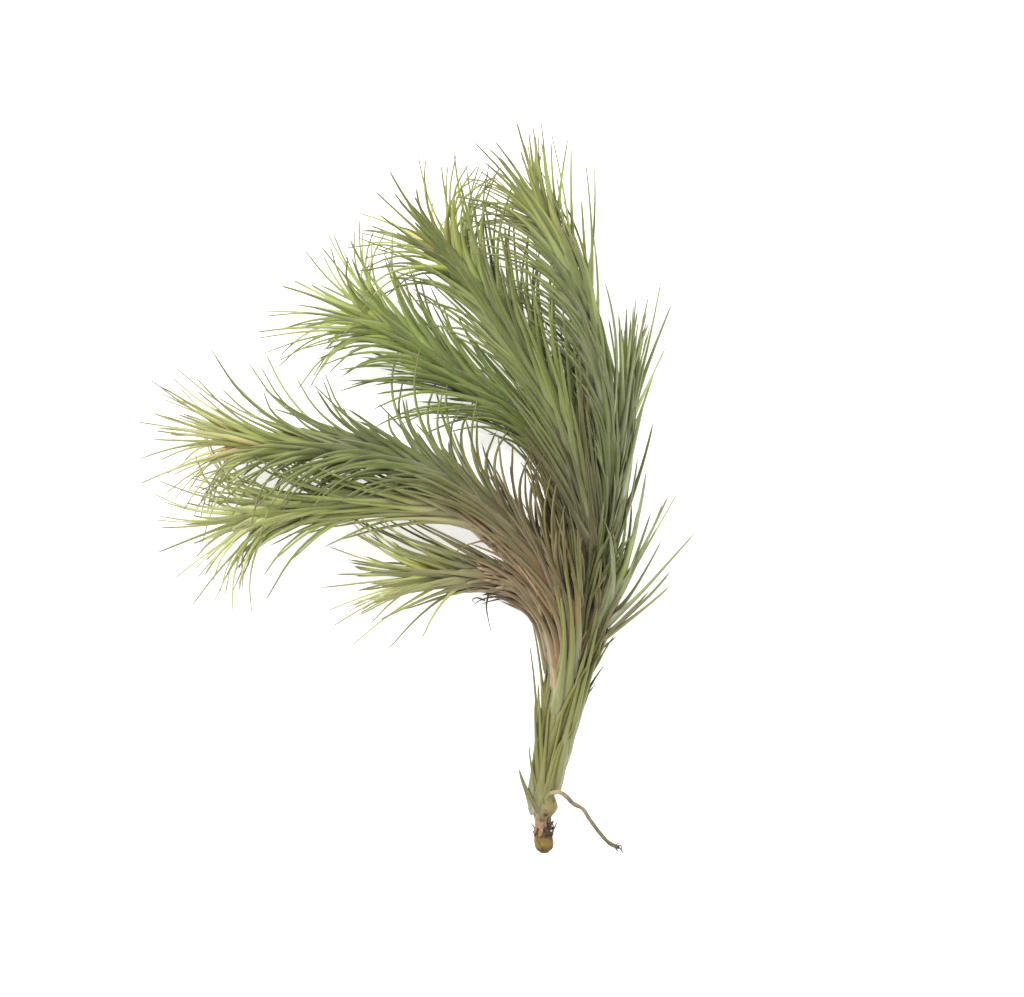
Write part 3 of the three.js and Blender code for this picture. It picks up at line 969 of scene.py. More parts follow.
    def combed(self, lines: Array) -> Array:
        """Bends the leaves that end nearest to the stem's known tips to them, and others along.

        Args:
            lines: The leaves' middle lines.

        Returns:
            The bent lines.
        """
        if not self.tips:
            return lines
        ends = lines[:, -1, :2]
        goals = np.array(self.tips) * MM + SHIFT[:2]
        taken: list[int] = []
        for goal in goals:
            far = np.linalg.norm(ends - goal, axis=1)
            far[taken] = np.inf
            taken.append(int(np.argmin(far)))
        moves = goals - ends[taken]
        moves *= np.minimum(1, self.pull / np.linalg.norm(moves, axis=1, keepdims=True))
        gaps = np.linalg.norm(ends[:, None] - ends[taken][None], axis=2)
        pull = np.exp(-((gaps / self.comb) ** 2))
        follow = self.pulled_share * (pull @ moves) / np.maximum(pull.sum(1, keepdims=True), 1)
        follow[taken] = moves
        along = np.linspace(0, 1, lines.shape[1])[None, :, None]
        bent = lines.copy()
        bent[..., :2] += follow[:, None] * along**self.bow
        return bent

    @staticmethod
    def above_table(
        lines: Array, softness: float = 1.5 * MM, gap: float = 0.6 * MM, free: float = 6
    ) -> Array:
        """Bends lines that would pass through the table so that they lie along it.

        Args:
            lines: The lines.
            softness: How gently they bend.
            gap: How high they lie in the end.
            free: How many times the softness over the gap they stay as they are.

        Returns:
            The bent lines.
        """
        bent = lines.copy()
        height = (lines[..., 2] - gap) / softness
        bent[..., 2] = gap + softness * np.logaddexp(0, height)
        return np.where(height[..., None] > free, lines, bent)

    def leaf_places(self, fineness: int = 2000) -> Array:
        """How far from the stem's foot each leaf grows: close together at the growing tip.

        None grow from the bare stretch, where only dry sheaths are left.

        Args:
            fineness: How many places the spacing is worked out at.

        Returns:
            The distances in metres, from the foot up.
        """
        fine = np.linspace(self.bare_foot, self.track.length - self.bare_tip, fineness)
        gap = blend(self.foot_spacing, self.spacing, smooth(fine, *self.spaced_from))
        gap = blend(self.tip_spacing, gap, smooth(self.track.length - fine, *self.crowded_tip))
        grown = np.concatenate([[0], np.cumsum(np.diff(fine) / gap[:-1])])
        places = np.interp(np.arange(int(grown[-1]) + 1), grown, fine)
        return places[(places < self.bare[0]) | (places > self.bare[1])]

    def azimuths(self, count: int) -> Array:
        """Which way round the stem each leaf faces, in radians."""
        turns = self.draw.uniform(0, 2 * math.pi) + GOLDEN_ANGLE * np.arange(count)
        return turns + self.draw.normal(0, self.scatter.turn, count)

    def rod(self, surface: Surface, sides: int = 10, share: float = 0.96) -> None:
        """Adds the bare stem inside the leaves.

        Args:
            surface: Where it goes.
            sides: How many sides it has.
            share: Its radius, as a share of the one that the leaves grow from.
        """
        radii = self.core_radius(self.track.places) * share
        add_tube(surface, self.track, radii, sides, finish=1)

    def add_leaves(self, surface: Surface) -> None:
        """Grows the stem's leaves, then lays those whose routes are listed.

        Args:
            surface: Where they go.
        """
        distance = self.leaf_places()
        grown = len(distance)
        lines, sides = self.leaf_lines(distance, self.azimuths(grown))
        part = self.part_at(distance)
        size = self.draw.uniform(*self.scatter.size, grown)
        size = size * blend(1, self.slim_tip, smooth(part, *self.slim_from))
        size = size * blend(self.broad_foot, 1, smooth(part, *self.broad_until))
        # Each leaf gets a random tone; a low one darkens it with painted shade.
        tone = self.draw.uniform(0, 1, grown)
        if self.strays:
            laid = np.stack([stray.line(self.blade.steps) for stray in self.strays])
            lines = np.concatenate([lines, laid])
            headings = laid[:, 1] - laid[:, 0]
            sides = np.concatenate([sides, unit(np.cross(headings, UP))])
            part = np.append(part, [stray.stage for stray in self.strays])
            size = np.append(size, [stray.size for stray in self.strays])
            tone = np.append(tone, [stray.tone for stray in self.strays])
        twist = self.draw.normal(0, self.scatter.twist, len(lines))
        self.blade.add_to(surface, lines, sides, twist, size, stage=part, tone=tone)

    def build(self) -> bpy.types.Object:
        """Grows the stem and all that it bears, and dresses it.

        Returns:
            The finished piece.
        """
        surface = Surface()
        self.add_leaves(surface)
        self.rod(surface)
        finishes: list[Finish] = [self.finish, STEM_BARK]
        if self.sheaths is not None:
            self.sheaths.add(surface, self.track)
            finishes.extend([SHEATH_BARK, WITHERED])
        return seat(surface.piece(f"{self.name}_leaves", finishes), self.slot, self.name)


def add_tube(
    surface: Surface, track: Track, radii: Array, sides: int,
    finish: int = 0, shape: Callable[[Array, Array], Array] | None = None,
) -> None:
    """Adds a closed round rod along a track.

    Args:
        surface: Where it goes.
        track: The line that it follows.
        radii: Its radius at each place of the track.
        sides: How many sides it has.
        finish: Which of the piece's finishes it has.
        shape: A factor on the radius by place and turn, for bumps.
    """
    turn = np.linspace(0, 2 * math.pi, sides, endpoint=False)
    binormals = np.cross(track.tangents, track.normals)
    reach = radii[:, None] * np.ones(sides)
    if shape is not None:
        reach = reach * shape(np.arange(len(radii))[:, None] / (len(radii) - 1), turn[None])
    ring = toward(track.normals[:, None], binormals[:, None], turn[None])
    corners = kept_above((track.points[:, None] + ring * reach[..., None]).reshape(-1, 3))
    rings = len(radii)
    faces = [list(range(sides))[::-1], list(range((rings - 1) * sides, rings * sides))]
    for low in range(0, (rings - 1) * sides, sides):
        for side in range(sides):
            after = (side + 1) % sides
            faces.append([low + side, low + after, low + sides + after, low + sides + side])
    along = np.repeat(np.linspace(0, 1, rings), sides)
    surface.add(corners, faces, finish, along=along, across=np.tile(np.sin(turn), rings))


def add_strands(
    surface: Surface, routes: Sequence[Sequence[Triple]], radius: float, end: float,
    step: float, finish: int, sides: int = 8,
) -> None:
    """Adds thin strands that narrow to their ends.

    Args:
        surface: Where they go.
        routes: Their points in millimetres on the routes' grid.
        radius: Their radius at the foot.
        end: Their radius at the end, as a share of it.
        step: The distance between two of their rings.
        finish: Which of the piece's finishes they have.
        sides: How many sides they have.
    """
    for route in routes:
        strand = Track(route, step)
        thin = np.linspace(1, end, len(strand.places))
        add_tube(surface, strand, radius * thin, sides, finish)


@dataclass(frozen=True)
class DrySheaths:
    """Papery sheaths of dead leaves round a stem, with withered leaves that hang from them.

    The sheaths start between the given distances from the foot of the stem's track, and their
    turns about it are spread over the given range: 90 degrees is towards the camera.
    """

    start: Pair
    turns: Pair
    reach: Pair = (3.2, 5.2)
    length: float = 18.0
    size: Pair = (0.7, 1.1)
    count: int = 40
    blade: Blade = Blade(width=2.3 * MM, sheath=0.8 * MM, thickness=0.35 * MM, taper=0.42,
                         channel=0.5, clasp=0.1, hair=0.3 * MM, steps=10)
    clearance: float = 0.8 * MM
    turn_scatter: float = 8.0
    curl_scatter: float = 0.2
    reach_scatter: Pair = (0.7, 0.5)
    twist_scatter: float = 0.25
    withered: Sequence[Sequence[Triple]] = ()
    withered_radius: float = 0.3 * MM
    withered_end: float = 0.35
    withered_step: float = 0.5 * MM
    seed: int = 41

    def add(self, surface: Surface, track: Track) -> None:
        """Lays the sheaths and the withered leaves.

        Args:
            surface: Where they go.
            track: The line of the stem that bears them.
        """
        draw = np.random.default_rng(self.seed)
        along = np.linspace(0, 1, self.blade.steps + 1)
        for number in range(self.count):
            place = blend(*self.start, (number + draw.uniform(0, 1)) / self.count)
            turn = blend(*self.turns, number * GOLDEN_SHARE % 1)
            turn = math.radians(turn + draw.normal(0, self.turn_scatter))
            size = draw.uniform(*self.size)
            heights = (place + self.length * size * along) * MM
            turns = turn + along**2 * draw.normal(0, self.curl_scatter)
            points, outward, across = track.around(heights, turns)
            reach = blend(*self.reach, along**1.2) + draw.uniform(0, self.reach_scatter[0])
            reach = reach + draw.normal(0, self.reach_scatter[1]) * along**3
            line = kept_above(points + outward * (reach * MM)[:, None], self.clearance)
            twist = draw.normal(0, self.twist_scatter, 1)
            self.blade.add_to(surface, line[None], across[None], twist, np.array([size]), 2)
        add_strands(surface, self.withered, self.withered_radius, self.withered_end,
                    self.withered_step, 3)


@dataclass(frozen=True)
class Scrap:
    """One dry scrap or strip of old bark, as a small curled blade laid over the stem.

    Its foot and its tip are given by how far up the stem they lie, in millimetres, and by their
    turn about it, in degrees: 0 is to the right in the picture and 90 is towards the camera.
    """

    foot: Pair
    tip: Pair
    lift: float
    width: float
    stray: float = 0.0


@dataclass
class CutStub:
    """The bare woody end of the stem, cut off round, with a rotten waist and a pale swelling."""

    name: str = "cut_stub"
    route: Sequence[Triple] = (
        (39.4, -109.6, 2.3), (39, -103.5, 2.4), (38.9, -97.5, 3.6), (39.4, -91.4, 4.7),
    )
    radius: float = 2.85 * MM
    profile: tuple[float, ...] = (
        0.35, 0.86, 1.0, 1.02, 0.98, 0.9, 0.74, 0.66, 0.7, 0.74, 0.84, 0.98, 1.02, 1.0, 0.96,
        0.92, 0.88,
    )
    swelling: Triple = (14.8, 3.0, 0.5)
    knobs: float = 0.1
    calm: float = 0.35
    rot_from: Pair = (3, 5)
    rot_until: Pair = (10, 12)
    blade: Blade = Blade(thickness=0.35 * MM, channel=0.22, clasp=0.1, hair=0.25 * MM, steps=8)
    clearance: float = 0.5 * MM
    ripple: float = 0.06 * MM
    twist_scatter: float = 0.2
    sides: int = 64
    track_step: float = 0.2 * MM
    seed: int = 31

    strips: tuple[Scrap, ...] = (
        Scrap((13.4, 122), (4.8, 108), 0.3, 3.4), Scrap((13.0, 162), (5.2, 160), 0.35, 2.6),
        Scrap((12.0, 84), (8.2, 76), 0.3, 1.8),
    )
    scraps: tuple[Scrap, ...] = (
        Scrap((9.6, 20), (6.4, 8), 0.9, 1.5), Scrap((8.6, 48), (5.4, 58), 0.8, 1.7),
        Scrap((10.4, 55), (7.6, 30), 0.7, 1.4), Scrap((7.8, 78), (5.0, 84), 0.7, 1.5),
        Scrap((5.2, 6), (9.2, -4), 1.3, 0.8, 0.5), Scrap((5.0, 30), (8.4, 16), 1.1, 1.0, 0.3),
        Scrap((6.6, 176), (9.4, 184), 0.9, 1.0, 0.3), Scrap((8.8, 186), (5.8, 176), 0.7, 1.2),
        Scrap((7.0, -30), (9.6, -20), 0.9, 1.1, 0.2), Scrap((8.8, 128), (6.2, 134), 0.5, 1.2),
        Scrap((11.0, 30), (7.0, 34), 0.9, 2.2), Scrap((10.2, 62), (5.6, 66), 0.8, 2.2),
        Scrap((10.6, 2), (7.2, 12), 1.0, 1.8, 0.2),
    )

    def outline(self, part: Array, turn: Array) -> Array:
        """How far the bark stands out of its plain round form.

        Args:
            part: The place up the stub, from 0 to 1.
            turn: The turn about it, in radians.

        Returns:
            A factor on the radius.
        """
        height = part * self.track.length / MM
        middle, reach, size = self.swelling
        bulge = size * np.exp(-(((height - middle) / reach) ** 2))
        bulge = bulge * np.maximum(0, np.cos(turn + 0.2))
        ridges = np.sin(5 * turn + 2.2 * np.sin(height * 0.9))
        ridges = ridges + 0.7 * np.sin(11 * turn - height * 1.7)
        pits = np.sin(height * 2.9 + 3 * np.cos(turn)) * np.sin(7 * turn + height)
        rotten = smooth(height, *self.rot_from) * (1 - smooth(height, *self.rot_until))
        rough = self.knobs * blend(self.calm, 1, rotten)
        return 1 + bulge + rough * (0.3 * ridges + 0.25 * pits)

    def radius_at(self, part: Array) -> Array:
        """The stub's plain radius at some places up it, from 0 to 1."""
        return self.radius * even_steps(part, self.profile)

    def lay(self, scrap: Scrap, steps: int) -> tuple[Array, Array]:
        """The middle line of a scrap and the way across it.

        Args:
            scrap: The scrap.
            steps: How many steps its line has.

        Returns:
            The points of the line and the way across its foot.
        """
        along = np.linspace(0, 1, steps + 1)
        height = blend(scrap.foot[0], scrap.tip[0], along)
        turn = np.radians(blend(scrap.foot[1], scrap.tip[1], along))
        points, outward, across = self.track.around(height * MM, turn)
        lift = (0.1 + scrap.lift * np.sin(along * math.pi * 0.6) ** 2) * MM
        reach = self.radius_at(height * MM / self.track.length) + lift
        reach = reach + scrap.stray * MM * along**2 * 2
        upward = scrap.tip[0] > scrap.foot[0]
        return points + outward * reach[:, None], across * (1 if upward else -1)

    def lay_all(
        self, surface: Surface, scraps: Sequence[Scrap], finish: int, sheath: float
    ) -> None:
        """Adds scraps or strips.

        Args:
            surface: Where they go.
            scraps: What to add.
            finish: Their finish.
            sheath: How broad their feet are.
        """
        draw = np.random.default_rng(self.seed + finish)
        for scrap in scraps:
            blade = replace(self.blade, width=scrap.width * MM, sheath=sheath * MM)
            line, across = self.lay(scrap, blade.steps)
            line[1:-1] += draw.normal(0, self.ripple, (blade.steps - 1, 3))
            line = kept_above(line, self.clearance)
            twist = draw.normal(0, self.twist_scatter, 1)
            blade.add_to(surface, line[None], across[None], twist, np.ones(1), finish)

    def build(self) -> bpy.types.Object:
        """Turns the stub's profile along its route, lays the scraps on it and dresses it.

        Returns:
            The finished piece.
        """
        self.track = Track(self.route, self.track_step)
        radii = self.radius_at(self.track.places / self.track.length)
        surface = Surface()
        add_tube(surface, self.track, radii, self.sides, shape=self.outline)
        self.lay_all(surface, self.scraps, 1, 0.3)
        self.lay_all(surface, self.strips, 2, 0.6)
        piece = surface.piece("stub_wood", [STUB_BARK, ROT_BARK, STRIP_BARK])
        return seat(piece, "stub_bark", self.name)


@dataclass
class WiryRoot:
    """The thin root that leaves the foot of the stem and ends on the table, frayed and hooked."""

    name: str = "wiry_root"
    radius: float = ROOT_RADIUS
    strands: tuple[tuple[Triple, ...], ...] = (
        ((61.2, -107.7, 0.9), (62, -107.4, 1.3), (62.6, -107.6, 1.2), (62.7, -108.6, 0.8),
         (62.5, -109.5, 0.5)),
        ((61.3, -107.9, 0.6), (62.2, -108.3, 0.6), (62.9, -109, 0.5), (63, -109.9, 0.4)),
        ((61, -107.5, 1), (61.5, -106.8, 1.4), (62.2, -106.8, 1.3)),
        ((61, -108.3, 0.6), (61.4, -109, 0.4), (61.9, -109.2, 0.4)),
    )
    strand_radius: float = 0.24 * MM
    strand_end: float = 0.4
    strand_step: float = 0.2 * MM
    foot_share: float = 1.12
    thinning: float = 0.16
    worn_from: float = 0.985
    worn_share: float = 0.75
    sides: int = 18
    track_step: float = 0.25 * MM
    knots: tuple[Triple, ...] = ((0.36, 0.03, 0.12), (0.93, 0.04, 0.1))

    def wrinkles(self, part: Array, turn: Array) -> Array:
        """How far the root's skin stands out.

        Args:
            part: The place along the root, from 0 to 1.
            turn: The turn about it, in radians.

        Returns:
            A factor on the radius.
        """
        rings = np.sin(part * 70 + 1.4 * np.sin(part * 23)) * 0.04
        knots = sum(size * np.exp(-(((part - middle) / reach) ** 2))
                    for middle, reach, size in self.knots)
        return 1 + rings + knots + 0.05 * np.sin(3 * turn + part * 14)

    def build(self) -> bpy.types.Object:
        """Lays the root and its frayed strands along their routes and dresses them.

        Returns:
            The finished piece.
        """
        track = Track(ROOT_ROUTE, self.track_step)
        part = track.places / track.length
        radii = self.radius * (self.foot_share - self.thinning * part)
        radii = radii * np.where(part > self.worn_from, self.worn_share, 1)
        surface = Surface()
        add_tube(surface, track, radii, self.sides, shape=self.wrinkles)
        add_strands(surface, self.strands, self.strand_radius, self.strand_end,
                    self.strand_step, 1)
        return seat(surface.piece("root_strand", [ROOT_BARK, ROT_BARK]), "root_bark", self.name)


@dataclass
class Studio:
    """A white floor, soft light all round and a long lens straight above the clump."""

    view_centre: Pair = (29.55, -2.4)
    view_width: float = 307.2 * MM
    view_height: float = 16 * MM
    lens: float = 200.0
    sensor: float = 36.0
    floor_side: float = 3.0
    sky: float = 0.8
    lamps: tuple[tuple[str, Triple, float, float], ...] = (
        ("key_light", (-0.7, 0.8, 1.2), 0.6, 30), ("fill_light", (0.9, -0.4, 1.1), 1.0, 6),
    )

    def build(self) -> None:
        """Sets the floor, the lights and the camera."""
        self.aim = np.array([*self.view_centre, 0]) * MM + SHIFT
        self.floor()
        self.world()
        for lamp in self.lamps:
            self.lamp(*lamp)
        self.camera()

    def floor(self) -> None:
        """Lays the floor under the clump."""
        corners = np.array([(-1, -1, 0), (1, -1, 0), (1, 1, 0), (-1, 1, 0)])
        surface = Surface()
        surface.add(self.floor_side / 2 * corners, [[0, 1, 2, 3]])
        surface.piece("floor", [FloorFinish()])

    def world(self) -> None:
        """Lights the scene evenly from all sides."""
        world = bpy.data.worlds.new("studio")
        world.use_nodes = True
        sky = world.node_tree.nodes["Background"]
        sky.inputs["Color"].default_value = (1, 1, 1, 1)
        sky.inputs["Strength"].default_value = self.sky
        bpy.context.scene.world = world

    def lamp(self, name: str, place: Triple, side: float, power: float) -> None:
        """Hangs a soft square lamp that faces the clump.

        Args:
            name: The lamp's name.
            place: Where it hangs, in metres.
            side: The length of its side, in metres.
            power: Its power in watts.
        """
        light = bpy.data.lights.new(name, "AREA")
        light.size = side
        light.energy = power
        lamp = bpy.data.objects.new(name, light)
        lamp.location = place
        lamp.rotation_mode = "QUATERNION"
        lamp.rotation_quaternion = Vector((self.aim - place).tolist()).to_track_quat("-Z", "Y")
        bpy.context.scene.collection.objects.link(lamp)

    def camera(self) -> None:
        """Sets the camera straight above, with the growing tips towards the top of the picture."""
        data = bpy.data.cameras.new("camera")
        data.lens = self.lens
        data.sensor_width = self.sensor
        camera = bpy.data.objects.new("camera", data)
        distance = self.view_width * self.lens / self.sensor
        camera.location = (self.aim[0], self.aim[1], self.view_height + distance)
        bpy.context.scene.collection.objects.link(camera)
        bpy.context.scene.camera = camera


STUB_BARK = BarkFinish(
    "stub_bark",
    ((0.0, (66, 48, 24)), (0.05, (88, 66, 30)), (0.14, (118, 98, 36)),
     (0.24, (106, 84, 36)), (0.31, (96, 70, 36)), (0.37, (54, 38, 24)),
     (0.54, (48, 34, 24)), (0.64, (120, 98, 68)), (0.8, (132, 120, 80)),
     (1.0, (106, 104, 56))),
    pale=(160, 150, 76), dark=(58, 40, 18), paleness=0.4, darkness=0.95,
)
ROT_BARK = BarkFinish(
    "rot_bark", ((0.0, (54, 38, 24)), (1.0, (68, 52, 34))),
    pale=(110, 88, 62), dark=(28, 20, 12), paleness=0.35,
)
STRIP_BARK = BarkFinish(
    "strip_bark",
    ((0.0, (128, 112, 72)), (0.45, (142, 114, 84)), (1.0, (118, 88, 58))),
    pale=(172, 150, 118), dark=(92, 64, 42), darkness=0.5,
)
SHEATH_BARK = BarkFinish(
    "dry_sheath",
    ((0.0, (86, 64, 46)), (0.35, (110, 92, 70)), (0.8, (128, 112, 90)),
     (1.0, (158, 144, 112))),
    pale=(166, 150, 122), dark=(66, 46, 32), paleness=0.5, darkness=0.75,
    fineness=800,
)
WITHERED = BarkFinish(
    "withered_leaf", ((0.0, (74, 62, 44)), (1.0, (92, 88, 80))),
    pale=(130, 124, 112), dark=(40, 34, 26), paleness=0.4,
)
STEM_BARK = BarkFinish(
    "stem_bark",
    ((0.0, (86, 76, 44)), (0.5, (74, 82, 36)), (1.0, (112, 122, 52))),
    pale=(122, 120, 80), dark=(44, 42, 18),
)
ROOT_BARK = BarkFinish(
    "root_bark",
    ((0.0, (162, 146, 112)), (0.12, (158, 142, 112)), (0.26, (116, 98, 76)),
     (0.42, (134, 122, 96)), (0.7, (104, 96, 70)), (0.94, (94, 88, 56)),
     (1.0, (60, 50, 32))),
    pale=(186, 176, 154), dark=(78, 60, 44), darkness=0.6, paleness=0.5,
    fineness=1400, depth=0.2 * MM,
)

SILVER_GREEN = LeafFinish(
    "silver_green", oldest=(84, 68, 26), older=(120, 120, 64),
    grown=(110, 116, 76), young=(138, 156, 80), heart=(174, 148, 66),
    grown_blade=(102, 114, 54), young_blade=(142, 152, 71),
    old_blade=(116, 116, 50), scales=0.55, turn_green=0.2,
)
FRESH_GREEN = LeafFinish(
    "fresh_green", oldest=(82, 70, 36), older=(86, 80, 40),
    grown=(134, 143, 83), young=(152, 176, 56), heart=(200, 188, 108),
    grown_blade=(106, 117, 39), young_blade=(156, 164, 84),
    old_blade=(74, 72, 24), turn_green=0.2,
)
ROSE_GREEN = LeafFinish(
    "rose_green", oldest=(156, 104, 52), older=(112, 78, 48),
    grown=(108, 112, 68), young=(186, 200, 86), heart=(212, 158, 112),
    grown_blade=(110, 122, 52), young_blade=(176, 180, 118),
    old_blade=(102, 92, 48), turn_green=0.34,
)
DARK_GREEN = LeafFinish(
    "dark_green", oldest=(100, 88, 46), older=(136, 116, 54),
    grown=(96, 108, 32), young=(148, 176, 44), heart=(196, 200, 84),
    grown_blade=(128, 146, 58), young_blade=(156, 168, 94),
    old_blade=(112, 112, 44), turn_green=0.3,
)
GREY_GREEN = LeafFinish(
    "grey_green", oldest=(124, 112, 70), older=(124, 118, 56),
    grown=(160, 166, 130), young=(172, 180, 98), heart=(158, 160, 84),
    grown_blade=(132, 140, 96), young_blade=(182, 198, 125),
    old_blade=(132, 130, 88), turn_green=0.2,
)
YELLOW_GREEN = LeafFinish(
    "yellow_green", oldest=(212, 142, 52), older=(184, 156, 142),
    grown=(184, 184, 124), young=(216, 226, 104), heart=(226, 226, 174),
    grown_blade=(140, 152, 68), young_blade=(184, 188, 128),
    old_blade=(194, 168, 128), turn_green=0.42,
)
TAN_GREEN = LeafFinish(
    "tan_green", oldest=(176, 150, 92), older=(84, 62, 34),
    grown=(116, 100, 68), young=(206, 208, 62), heart=(222, 220, 96),
    grown_blade=(148, 150, 92), young_blade=(184, 192, 125),
    old_blade=(138, 116, 80), turn_green=0.56,
)

